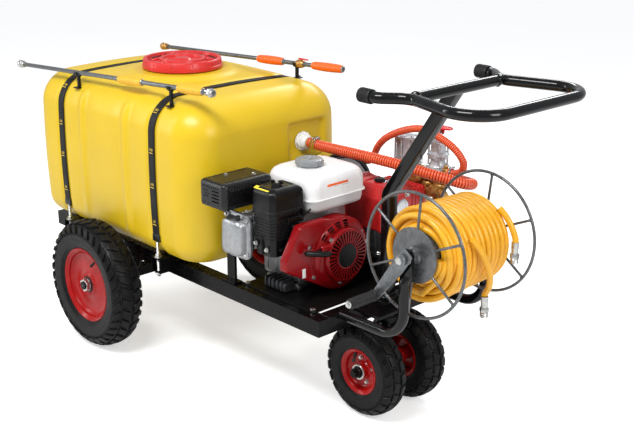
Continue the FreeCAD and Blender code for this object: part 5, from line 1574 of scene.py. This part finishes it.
# ---------------------------------------------------------------- belt drive and pump
def belt_drive():
    finish_node("belt_guard", black_paint, 0.8)
    finish_node("drive_belt", rubber_black, 0.5)
    finish_node("engine_pulley", dark_metal, 0.8)
    finish_node("pump_pulley", grey_plastic, 1.2)
    centre = vec(507, 168, 475)
    rim = Shape()
    turn = np.linspace(math.radians(-75), math.radians(165), 60)
    path = [centre + vec(25, 138.0 * math.cos(a), 138.0 * math.sin(a)) for a in turn]
    rim.tube(path, 8.0, 14)
    piece("belt_guard_bead", rim, "chassis", black_paint)
    panel = Shape()
    panel.lathe([(0, 26), (0, 128), (2, 128), (3, 120), (1.6, 112), (1.6, 60), (3, 54), (3, 26)],
                centre + X * 27.2, X, 96,
                loop=True)
    for index in range(6):
        angle = math.radians(60 * index + 20)
        panel.bolt(centre + vec(29, 40 * math.cos(angle), 40 * math.sin(angle)), X, 9)
    piece("belt_guard_panel", panel, "chassis", grey_plastic)
    patch = Shape()
    for reach, spread_x, spread_deg, paint in ((145.4, 20, 13, 0), (145.8, 5, 3, 1)):
        rows = []
        for angle in np.linspace(math.radians(109 - spread_deg), math.radians(109 + spread_deg), 16):
            way = vec(0, math.cos(angle), math.sin(angle))
            rows.append([centre + way * r + X * x for r, x in ((reach - 0.8, -spread_x), (reach, -spread_x),
                                                               (reach, spread_x), (reach - 0.8, spread_x))])
        patch.grid(rows, wrap=True, caps=True, paint=paint)
    piece("belt_guard_label", patch, "chassis", [label_yellow, red_plastic])


def pump():
    low, high = limits("pump_crankcase")[:2]
    x0, x1 = low[0], high[0]
    y0, y1 = low[1], 216.0
    base_z, z0, z1 = low[2], 446.0, 576.0
    stand = Shape()
    stand.box(vec(x0 + 6, y0 + 6, base_z), vec(x1 - 6, y1 - 6, z0 + 4), 3, 12, axis=0)
    stand.box(vec(x0 - 2, y0 - 2, base_z), vec(x1 + 2, y1 + 2, base_z + 12), 2, 4)
    for x in (x0 + 20, x0 + 72, x1 - 32):
        stand.box(vec(x, y0 + 1, base_z + 8), vec(x + 9, y1 - 1, z0 + 2), 1.5, 3, axis=0)
    for x in (x0 + 40, x1 - 14):
        stand.bolt(vec(x, y0 + 3, base_z + 12), Z, 12, paint=1)
    for y in (y0 + 26, y0 + 70):
        stand.bolt(vec(x1 - 6, y, base_z + 40), X, 11, paint=1)
    piece("pump_stand", stand, "chassis", [dark_metal, zinc], crease=34)
    shape = Shape()
    outline = rounded_outline([(y0 + 2, z0), (y1, z0), (y1, z1 - 14), (y1 - 26, z1), (y0 + 24, z1),
                               (y0, z1 - 34)],
                              [10, 10, 14, 16, 22, 20], 6)
    shape.prism(outline, vec(x0, 0, 0), Y, Z, x1 - x0, 6, 4)
    for x in (x0 + 4, x1 - 16):
        wider = rounded_outline([(y0 - 1, z0), (y1 + 3, z0), (y1 + 3, z1 - 12), (y1 - 24, z1 + 3),
                                 (y0 + 22, z1 + 3),
                                 (y0 - 3, z1 - 34)], [8, 8, 14, 16, 22, 20], 6)
        shape.prism(wider, vec(x, 0, 0), Y, Z, 12, 2, 3)
    for y in (y0 + 20, y1 - 20):
        for z in (z0 + 14, z1 - 34):
            shape.bolt(vec(x1, y, z), X, 11, paint=1)
    shape.lathe([(0, 0), (0, 30), (2, 30), (4, 28), (4, 0)], vec(x1 - 1, 176, 510), X, 56)
    shape.lathe([(0, 0), (0, 24), (1.5, 24), (2.5, 22), (2.5, 15), (1.6, 14), (1.6, 0)],
                vec(x1 + 3, 176, 510), X, 56, paint=2)
    shape.box(vec(x0 + 12, y1 - 4, 474), vec(x1 - 4, 285, 550), 4, 14, axis=1)
    for index in range(4):
        y = y1 + 8 + index * 15
        shape.box(vec(x0 + 10, y, 470), vec(x1 - 2, y + 5, 554), 1.6, 14, axis=1)
    shape.lathe([(0, 0), (0, 15), (3, 16), (8, 16), (11, 13), (12, 9), (12, 0)], vec(718, 150, z1 - 1), Z,
                48, paint=3)
    for index in range(3):
        x = x0 + 26 + 34 * index
        shape.box(vec(x, y0 + 34, z1 - 2), vec(x + 5, y1 - 30, z1 + 3.5), 1.5)
    piece("pump_body", shape, "chassis", [pump_paint, zinc, chrome, black_plastic],
          ["pump_crankcase"],
          crease=34)
    plate = Shape()
    plate.prism(rounded_rectangle(46, 26, 9, 4), vec(x0 + 96, y0 + 62, z1 + 0.4), X, Y, 1.2, 0.3)
    for x in (x0 + 78, x0 + 114):
        plate.bolt(vec(x, y0 + 62, z1 + 1.4), Z, 5)
    piece("pump_plate", plate, "chassis", chrome)




def pump_head():
    shape = Shape()
    shape.box(vec(642, 285.5, 470), vec(772, 312, 560), 3, 12, axis=1)
    for index in range(3):
        x = 664 + 42 * index
        shape.rod(vec(x, 304, 515), vec(x, 327, 515), 18, 3, 40)
        shape.hexagon(vec(x, 322, 515), Y, 24, 8)
        for z in (480, 550):
            shape.bolt(vec(x - 14, 311, z), Y, 9, paint=1)
    shape.box(vec(650, 282, 563), vec(842, 326, 597), 4, 12, axis=0)
    for x in (672, 720, 768, 816):
        shape.lathe([(0, 0), (0, 19), (3, 21), (7, 21), (9, 17), (9, 0)], vec(x, 304, 560), -Z, 36)
        shape.rod(vec(x, 284, 580), vec(x, 277, 580), 11, 2, 28)
        shape.hexagon(vec(x, 279, 580), -Y, 15, 5)
    shape.box(vec(660, 290, 553), vec(762, 318, 568), 3)
    for x in (700, 752):
        shape.rod(vec(x, 286, 590), vec(x, 286, 600), 9, 2, 28)
        shape.hexagon(vec(x, 286, 598), Z, 14, 7)
    shape.rod(vec(842, 308, 583), vec(850, 308, 583), 19, 2, 40)
    shape.hexagon(vec(850, 308, 583), X, 33, 12)
    profile = [(0, 9), (0, 15), (10, 15), (10, 13)]
    for index in range(5):
        profile += [(12 + 5 * index, 14.2), (16.5 + 5 * index, 11.6)]
    profile += [(38, 11), (38, 9)]
    shape.lathe(profile, vec(860, 308, 583), X, 40, loop=True)
    shape.rod(vec(652, 300, 583), vec(622, 300, 583), 11, 2, 32)
    shape.hexagon(vec(640, 300, 583), -X, 28, 10)
    shape.lathe([(0, 0), (0, 12), (5, 13), (9, 9), (16, 9), (18, 12), (22, 12), (22, 0)],
                vec(634, 300, 583), -X, 32)
    shape.box(vec(836, 280, 590), vec(852, 296, 614), 3)
    shape.rod(vec(848, 287, 606), vec(874, 286.3, 606.4), 5.6, 1, 24)
    shape.hexagon(vec(851, 287, 606), X, 17, 7)
    shape.rod(vec(844, 288, 614), vec(844, 288, 622), 7, 1.5, 24)
    shape.rod(vec(768, 302, 530), vec(812, 302, 530), 17, 2, 36)
    shape.lathe([(0, 0), (0, 20), (3, 22), (9, 22), (12, 17), (26, 16.5), (30, 21), (44, 22), (50, 17),
                 (62, 16), (66, 20),
                 (76, 20), (80, 14), (80, 0)], vec(808, 302, 578), -Z, 44)
    shape.rod(vec(808, 300, 540), vec(842, 288, 532), 12, 2, 32)
    shape.hexagon(vec(836, 290, 533), unit(vec(34, -12, -8)), 24, 10)
    shape.rod(vec(808, 302, 548), vec(808, 270, 548), 13, 2.5, 32)
    shape.hexagon(vec(808, 274, 548), -Y, 19, 9)
    shape.rod(vec(746, 300, 572), vec(746, 268, 572), 15, 3, 32)
    shape.hexagon(vec(746, 272, 572), -Y, 22, 9)
    piece("pump_valve_block", shape, "chassis", [brass, zinc], ["pump_head"], crease=36)
    handle = Shape()
    handle.box(vec(824, 284, 516), vec(830, 322, 520), 1.5)
    piece("outlet_cock_handle", handle, "chassis", red_plastic)


def chambers():
    low, _, middle = limits("air_chamber")
    base = vec(middle[0], middle[1], low[2])
    shape = Shape()
    shape.lathe([(0, 0), (0, 43), (1, 44), (7, 44), (8, 42), (9, 37.5), (12, 36), (60, 36), (64, 37.5),
                 (70, 38), (82, 36.5),
                 (89, 31), (93.4, 20), (93.6, 0)], base, Z, 72)
    for index in range(8):
        angle = math.radians(45 * index + 10)
        spot = base + (X * math.cos(angle) + Y * math.sin(angle)) * 40
        shape.rod(spot + Z * 8, spot + Z * 88, 2.6, 0.5, 16)
        shape.hexagon(spot + Z * 8, Z, 8, 5)
        shape.hexagon(spot + Z * 80, Z, 8, 5)
    shape.lathe([(0, 34), (0, 43), (2, 44), (6, 44), (8, 41), (8, 34)], base + Z * 76, Z, 72, loop=True)
    shape.hexagon(base + Z * 92, Z, 14, 1.6)
    piece("pressure_chamber", shape, "chassis", bright_cast, ["air_chamber"], crease=34)
    low, _, middle = limits("regulator")
    base = vec(middle[0], middle[1], low[2])
    shape = Shape()
    shape.lathe([(0, 0), (0, 34), (1, 35), (9, 35), (10, 33), (12, 27), (22, 22), (30, 21), (36, 27),
                 (40, 30), (50, 30), (52, 27),
                 (56, 22), (72, 21), (76, 24), (84, 24), (86, 22), (90, 14), (97, 12), (98, 9), (110, 9),
                 (110, 4), (116.4, 4),
                 (116.4, 0)], base, Z, 64)
    for index in range(4):
        angle = math.radians(90 * index + 45)
        spot = base + (X * math.cos(angle) + Y * math.sin(angle)) * 27
        shape.rod(spot + Z * 9, spot + Z * 84, 3.0, 0.5, 16)
        shape.hexagon(spot + Z * 10, Z, 10, 6)
        shape.hexagon(spot + Z * 80, Z, 10, 6)
        shape.hexagon(spot + Z * 44, Z, 10, 5)
    shape.box(base + vec(-34, -34, 0), base + vec(34, 34, 8), 2, 16)
    shape.rod(base + vec(24, -16, 48), base + vec(44, -26, 48), 6, 1.5, 24)
    piece("pressure_regulator", shape, "chassis", bright_cast, ["regulator"], crease=34)
    low, _, middle = limits("regulator_lever")
    pin = vec(800, 304, 709)
    shape = Shape()
    shape.rod(pin - Y * 14, pin + Y * 14, 3, 0.5, 20, 1)
    for side in (-1, 1):
        outline = rounded_outline([(-9, -8), (9, -8), (11, 16), (-7, 18)], 5)
        shape.prism(outline, pin + Y * (side * 12 + 2), X, Z, 4, 1)
    outline = rounded_outline([(-8, -14), (34, -14), (46, -8), (46, 8), (34, 14), (-8, 14)], 6)
    shape.prism(outline, pin + Z * 13, X, Y, 6, 1.8)
    shape.prism(rounded_rectangle(30, 12, 5, 3), pin + vec(22, 0, 18.6), X, Y, 2, 0.8)
    piece("regulator_cam_lever", shape, "regulator_lever", [red_plastic, zinc],
          ["regulator_lever"])


# ---------------------------------------------------------------- reel
reel_centre = vec(1110, 0, 530)


def reel():
    shape = Shape()
    for side in (-1, 1):
        hub = reel_centre + Y * (side * 135)
        shape.ring(hub, Y, 160, 4.0, 120, 14)
        shape.lathe([(-2, 12), (-2, 70), (-1, 71.5), (1.5, 71.5), (2.5, 70), (2.5, 12)], hub, Y * side, 96,
                    loop=True)
        for index in range(6):
            angle = math.radians(60 * index + 24)
            way = X * math.cos(angle) + Z * math.sin(angle)
            shape.rod(hub + way * 52 - Y * side * 1.5, hub + way * 159, 3.5, 0.6, 16)
            shape.ring(hub + way * 155.5, way, 3.7, 1.3, 20, 8)
        shape.lathe([(0, 11), (0, 24), (3, 24), (5, 19), (16, 18), (18, 16), (18, 11)], hub + Y * side * 2,
                    Y * side, 48,
                    loop=True)
    shape.pipe(reel_centre - Y * 133, reel_centre + Y * 133, 58, 56, 0.5, 64)
    shape.rod(reel_centre - Y * 186, reel_centre + Y * 172, 10, 1, 32, 1)
    piece("reel_frame", shape, "reel", [reel_enamel, zinc], ["reel_drum"], crease=32)


def coil():
    """Four layers of hose. The outer loops hang a little towards the near end."""
    shape = Shape()
    hose = 8.6
    path = []
    for layer in range(4):
        radius = 67.0 + 15.8 * layer
        start = -118.0 + 6.0 * layer
        end = 100.0 - 1.5 * layer
        if layer % 2:
            start, end = end, start
        turns = round(abs(end - start) / 17.4)
        steps = int(turns * 44)
        for step in range(steps):
            share = step / steps
            angle = 2 * math.pi * turns * share + layer * 0.7
            cell = turns * share
            ramp = math.floor(cell) + smooth_step(0.72, 1.0, cell - math.floor(cell))
            y = start + (end - start) * ramp / turns
            wobble = 0.8 * math.sin(angle * 1.37 + layer) + 0.5 * math.sin(angle * 0.31)
            away = (y + 118.0) / 218.0
            sag = layer / 3 * (1 - 0.55 * away)
            reach = radius + wobble * 0.6 - 7.0 * away * layer / 3 + 1.5 * sag
            hang = vec(-17 * sag, 0, -14 * sag)
            path.append(reel_centre + hang + vec(reach * math.cos(angle), y + wobble,
                                                 -reach * math.sin(angle)))
    shape.tube(path, hose, 14)
    piece("hose_coil", shape, "reel", hose_yellow, ["wound_hose"], crease=60)
    tails = Shape()
    couplings = Shape()
    for (ahead, side, up), turn, drift, first in (((82.0, 45.0, -128.0), 24, 96, 121),
                                                  ((122.0, 106.0, 14.0), 50, 8, 114)):
        end = reel_centre + vec(ahead, side, up)
        last = math.degrees(math.atan2(up, ahead))
        path = []
        final = math.hypot(ahead, up)
        for index in range(6):
            share = index / 5
            angle = math.radians(turn + (last - turn) * share)
            radius = first + (final - first) * share ** 1.3
            path.append(reel_centre + vec(radius * math.cos(angle), side - drift * (1 - share),
                                          radius * math.sin(angle)))
        path[-1] = end
        path.append(end - Z * 8)
        tails.tube(flow(path, 4), 8.2, 16)
        top = end - Z * 6
        couplings.lathe([(0, 8), (0, 9.6), (3, 10), (6, 9.4), (9, 10), (12, 9.4), (15, 10), (18, 9.2),
                         (40, 8.6), (40, 5)], top, -Z,
                        32)
        couplings.hexagon(top - Z * 30, -Z, 21, 13)
        couplings.lathe([(0, 9.5), (2, 11), (5, 10), (7, 11), (9, 10), (11, 11), (14, 9.5), (14, 6)],
                        top - Z * 43, -Z, 32)
    piece("hose_tails", tails, "reel", hose_yellow)
    piece("hose_end_fittings", couplings, "reel", zinc, ["hose_couplings"], crease=34)


def reel_crank():
    angle = math.radians(233)
    way = X * math.cos(angle) + Z * math.sin(angle)
    side = unit(np.cross(Y, way))
    hub = reel_centre - Y * 176
    shape = Shape()
    outline = rounded_outline([(-24, -17), (-24, 17), (30, 20), (146, 13), (160, 9), (160, -9), (146, -13),
                               (30, -20)],
                              [9, 9, 20, 14, 8, 8, 14, 20], 5)
    shape.prism(outline, hub, way, side, 5, 1.2)
    shape.rod(hub - Y * 4, hub - Y * 13, 15, 2, 40)
    shape.hexagon(hub - Y * 10, -Y, 19, 9, 1)
    end = hub + way * 148
    shape.hexagon(end + Y * 3.5, Y, 15, 3, 1)
    shape.rod(end - Y * 3, end - Y * 96, 5, 0.6, 24, 1)
    shape.rod(end - Y * 95.6, end - Y * 98, 9.6, 0.8, 32, 1)
    shape.hexagon(end - Y * 97.6, -Y, 11, 5, 1)
    piece("crank_lever", shape, "reel", [arm_steel, zinc], ["crank_arm"], crease=34)
    grip_shape = Shape()
    profile = [(0, 5.2), (0, 13.5), (1.5, 15), (4, 15.2), (5, 13.6)]
    for index in range(18):
        base = 7 + index * 4.3
        profile += [(base, 12.6), (base + 1.1, 13.7), (base + 2.6, 13.7), (base + 3.6, 12.6)]
    profile += [(86, 13.4), (88, 12.6), (89, 10), (89, 5.2)]
    grip_shape.lathe(profile, end - Y * 6, -Y, 40, loop=True)
    piece("crank_handle_grip", grip_shape, "crank_grip", rubber_black, ["crank_grip"],
          crease=50)


def reel_arms():
    low = limits("reel_arm_near")[0]
    reel_x = 1110.0
    reel_z = 530.0
    base_z = low[2] + 14
    for name, side in (("near", -1), ("far", 1)):
        y = side * 160.0
        shape = Shape()
        path = bend([vec(low[0] - 0.5, y, base_z), vec(1102, y, base_z), vec(1102, y, 462)], 76, 14)
        shape.tube(path, 14, 28)
        rows = []
        for share in np.linspace(0, 1, 11):
            z = 458 + 50 * share
            flat = smooth_step(0, 0.55, share)
            across_x = 14 + 5 * flat
            deep = 14 - 9.2 * flat
            x = 1102 + 6 * flat
            rows.append([vec(x + across_x * math.copysign(abs(math.cos(a)) ** (1 - 0.5 * flat),
                                                          math.cos(a)),
                             y + deep * math.copysign(abs(math.sin(a)) ** (1 - 0.5 * flat), math.sin(a)), z)
                         for a in np.linspace(0, 2 * math.pi, 36, endpoint=False)])
        shape.grid(rows, wrap=True, caps=True)
        tongue = rounded_outline([(-19, -26), (19, -26), (19, 8), (11, 21), (-11, 21), (-19, 8)],
                                 [2, 2, 9, 9, 9, 9], 5)
        hole = [(10.2 * math.cos(a), 10.2 * math.sin(a)) for a in np.linspace(0, 2 * math.pi, 32,
                                                                              endpoint=False)]
        outline = np.array(tongue) + np.array((-1, 0))
        perforated_sheet(shape, outline, [hole], vec(reel_x, y + 4.8, reel_z), X, Z, 9.6)
        turn = np.linspace(math.radians(-75), math.radians(255), 34)
        circle = [vec(low[0] + 1.5, y + 14.6 * math.sin(a), base_z + 14.6 * math.cos(a)) for a in turn
                  if base_z + 14.6 * math.cos(a) < 314]
        weld_bead(shape, circle, 2.4)
        piece("reel_arm_tube_" + name, shape, "chassis", black_paint, ["reel_arm_" + name],
              crease=34)
        washer = Shape()
        washer.pipe(vec(reel_x, y + side * 5, reel_z), vec(reel_x, y + side * 7, reel_z), 17, 10.4, 0.4, 36)
        piece("reel_arm_washer_" + name, washer, "chassis", zinc)


# ---------------------------------------------------------------- handle, frame
def handle():
    low, high = limits("steering_post")[:2]
    steer_x = 897.0
    top_z = high[2] - 14
    base = low[2]
    knee = vec(steer_x, 0, 612)
    top = vec(1110, 0, top_z)
    shape = Shape()
    path = bend([vec(steer_x, 0, base + 4), knee, top], 26, 8)
    section = rounded_rectangle(32, 32, 3.5, 4)
    rows = []
    for index, point in enumerate(path):
        before = path[max(index - 1, 0)]
        after = path[min(index + 1, len(path) - 1)]
        way = unit(after - before)
        side = unit(np.cross(Y, way))
        rows.append([point + Y * (u * 0.9999) + side * v for u, v in section])
    shape.grid(rows, wrap=True, caps=True)
    shape.lathe([(0, 17), (0, 35), (1, 36), (5, 36), (6, 35), (6, 17)], vec(steer_x, 0, base), Z, 64,
                loop=True)
    ring = [vec(steer_x + 17 * math.cos(a) / max(abs(math.cos(a)), abs(math.sin(a))),
                17 * math.sin(a) / max(abs(math.cos(a)), abs(math.sin(a))), base + 7)
            for a in np.linspace(0, 2 * math.pi, 48, endpoint=False)]
    weld_bead(shape, ring + ring[:1], 2.4)
    loop = [vec(1003, -216, top_z), vec(1053, -216, top_z), vec(1110, -165, top_z), vec(1360, -235, top_z),
            vec(1360, 235, top_z), vec(1110, 165, top_z), vec(1053, 216, top_z), vec(1003, 216, top_z)]
    shape.tube(bend(loop, (34, 60, 85, 85, 60, 34), 12), 14, 32)
    shape.tube([vec(1114, -162, top_z), vec(1114, 162, top_z)], 14, 32)
    for side in (-1, 1):
        turn = np.linspace(0, 2 * math.pi, 30)
        bead = [vec(1114 + 14.3 * math.cos(a), side * (151 - 3 * math.cos(a)),
                    top_z + 14.3 * math.sin(a)) for a in turn]
        weld_bead(shape, bead, 2.2)
    piece("steering_column", shape, "steering", black_paint, ["steering_post"], crease=34)
    caps = Shape()
    for side in (-1, 1):
        start = vec(998, side * 216, top_z)
        profile = [(0, 0), (0, 15), (1.5, 17.4), (4, 18)]
        for index in range(7):
            base_x = 6 + 4.2 * index
            profile += [(base_x, 18), (base_x + 0.6, 16.9), (base_x + 2.2, 16.9), (base_x + 2.8, 18)]
        profile += [(36, 18), (38, 17.2), (38, 14.1), (36, 14.05)]
        caps.lathe(profile, start, X, 40)
    piece("handle_caps", caps, "steering", rubber_black, ["handle_grips"], crease=40)


def frame_parts():
    for node in ("frame", "rear_axle", "tank_stops", "front_axle"):
        finish_node(node, rail_paint, 1.2)
    finish_node("deck_plate", deck_paint, 1.0)
    finish_node("chassis_bolts", zinc, 0.8)
    finish_node("crankshaft", zinc, 0.5)
    finish_node("flywheel", dark_metal, 0.5)
    finish_node("muffler", dark_metal, 0.8)
    finish_node("carburettor", cast_metal, 0.8)
    finish_node("lid_gasket", rubber_black, 0.3)
    weld_z = 313.0
    steer_x = 897.0
    welds = Shape()
    for x in (-243, 243):
        for side in (-1, 1):
            for edge in (-22.5, 22.5):
                start = vec(x + edge, side * 206, weld_z)
                end = vec(x + edge, side * 244, weld_z)
                weld_bead(welds, [start, (start + end) / 2, end], 2.6)
    for side in (-1, 1):
        y = side * 110.0
        weld_bead(welds, [vec(886, y, weld_z), vec(886, y * 0.5, weld_z), vec(886, 0, weld_z)], 2.4)
        weld_bead(welds, [vec(840, side * 205, weld_z), vec(862, side * 205, weld_z), vec(884, side * 205, weld_z)],
                  2.2)
    for z, reach in ((314, 31), (267, 31)):
        circle = [vec(steer_x + reach * math.cos(a), reach * math.sin(a), z)
                  for a in np.linspace(0, 2 * math.pi, 60)]
        weld_bead(welds, circle, 2.2)
    piece("frame_welds", welds, "chassis", black_paint)
    nuts = Shape()
    nut_y = 389.1
    axle_z = 200.0
    for side in (-1, 1):
        hub = vec(0, side * nut_y, axle_z)
        nuts.pipe(hub, hub + Y * (side * 2.4), 20, 12.8, 0.4, 36)
        nuts.lathe([(0, 12.6), (0, 14), (10, 13.4), (13, 12), (17.6, 0)], hub + Y * (side * 0.3),
                   Y * side, 32)
    piece("axle_washers", nuts, "chassis", zinc)


# ---------------------------------------------------------------- stage
def glow_for_camera(material, strength):
    """Adds plain light to a surface as the camera sees it, without lighting the cart."""
    nodes = material.node_tree.nodes
    path = nodes.new("ShaderNodeLightPath")
    scale = nodes.new("ShaderNodeMath")
    scale.operation = "MULTIPLY"
    scale.inputs[1].default_value = strength
    material.node_tree.links.new(path.outputs["Is Camera Ray"], scale.inputs[0])
    shader = nodes["Principled BSDF"]
    shader.inputs["Emission Color"].default_value = (1, 1, 1, 1)
    material.node_tree.links.new(scale.outputs["Value"], shader.inputs["Emission Strength"])


def stage():
    glow_for_camera(floor_paint, 0.50)
    floor = Shape()
    size = 60000.0
    rows = [[vec(-size, y, -0.6) for y in (-size, size)], [vec(size, y, -0.6) for y in (-size, size)]]
    mesh_floor = floor.grid(rows)
    mesh = bpy.data.meshes.new("studio_floor")
    mesh.from_pydata((np.concatenate(mesh_floor.points) * MM).tolist(), [], mesh_floor.faces)
    mesh.materials.append(floor_paint)
    thing = bpy.data.objects.new("studio_floor", mesh)
    bpy.context.scene.collection.objects.link(thing)


def light(name, place, target, size_x, size_y, power, colour=(1, 1, 1)):
    lamp = bpy.data.lights.new(name, "AREA")
    lamp.shape = "RECTANGLE"
    lamp.size = size_x
    lamp.size_y = size_y
    lamp.energy = power
    lamp.color = colour
    thing = bpy.data.objects.new(name, lamp)
    bpy.context.scene.collection.objects.link(thing)
    thing.location = place
    aim = Vector(target) - Vector(place)
    thing.rotation_euler = aim.to_track_quat("-Z", "Y").to_euler()


def lights():
    world = bpy.data.worlds.new("studio")
    bpy.context.scene.world = world
    world.use_nodes = True
    back = world.node_tree.nodes["Background"]
    back.inputs["Color"].default_value = (0.95, 0.97, 1.0, 1)
    back.inputs["Strength"].default_value = 0.50
    light("key_top", (1.0, -1.9, 3.2), (0.3, 0, 0.4), 1.6, 0.8, 88)
    light("strip_left", (-1.9, -2.2, 1.7), (0, 0, 0.5), 0.4, 2.2, 24)
    light("front_soft", (3.4, -0.2, 1.8), (0.6, 0, 0.4), 0.9, 1.2, 30)
    light("rim_back", (-0.4, 2.6, 2.6), (0.5, 0, 0.4), 2.0, 0.5, 40)
    bpy.context.scene.view_settings.view_transform = "Standard"


def camera():
    """Seen from the front left, a little above the tank, with a slightly long lens."""
    turn = math.radians(46.81)
    lift = math.radians(18.571)
    lens = bpy.data.cameras.new("studio_camera")
    lens.sensor_width = 36.0
    lens.lens = 63.65
    lens.clip_end = 200
    view = bpy.data.objects.new("studio_camera", lens)
    bpy.context.scene.collection.objects.link(view)
    view.location = (2.82342, -2.07081, 1.48247)
    right = vec(math.cos(turn), math.sin(turn), 0)
    back = vec(math.sin(turn) * math.cos(lift), -math.cos(turn) * math.cos(lift), math.sin(lift))
    up = np.cross(back, right)
    view.matrix_world = Matrix(((right[0], up[0], back[0], view.location[0]),
                                (right[1], up[1], back[1], view.location[1]),
                                (right[2], up[2], back[2], view.location[2]), (0, 0, 0, 1)))
    bpy.context.scene.camera = view


# ---------------------------------------------------------------- all pieces
wheels()
tank()
lid()
straps()
strap_hooks()
lances()
cradles()
outlet()
hoses()
fuel_tank()
fuel_cap()
air_cleaner()
muffler_guard()
engine_block()
valve_cover()
spark_lead()
fan_shroud()
recoil_cover()
recoil_handle()
control_levers()
belt_drive()
pump()
pump_head()
chambers()
reel()
coil()
reel_crank()
reel_arms()
handle()
frame_parts()
stage()
lights()
camera()
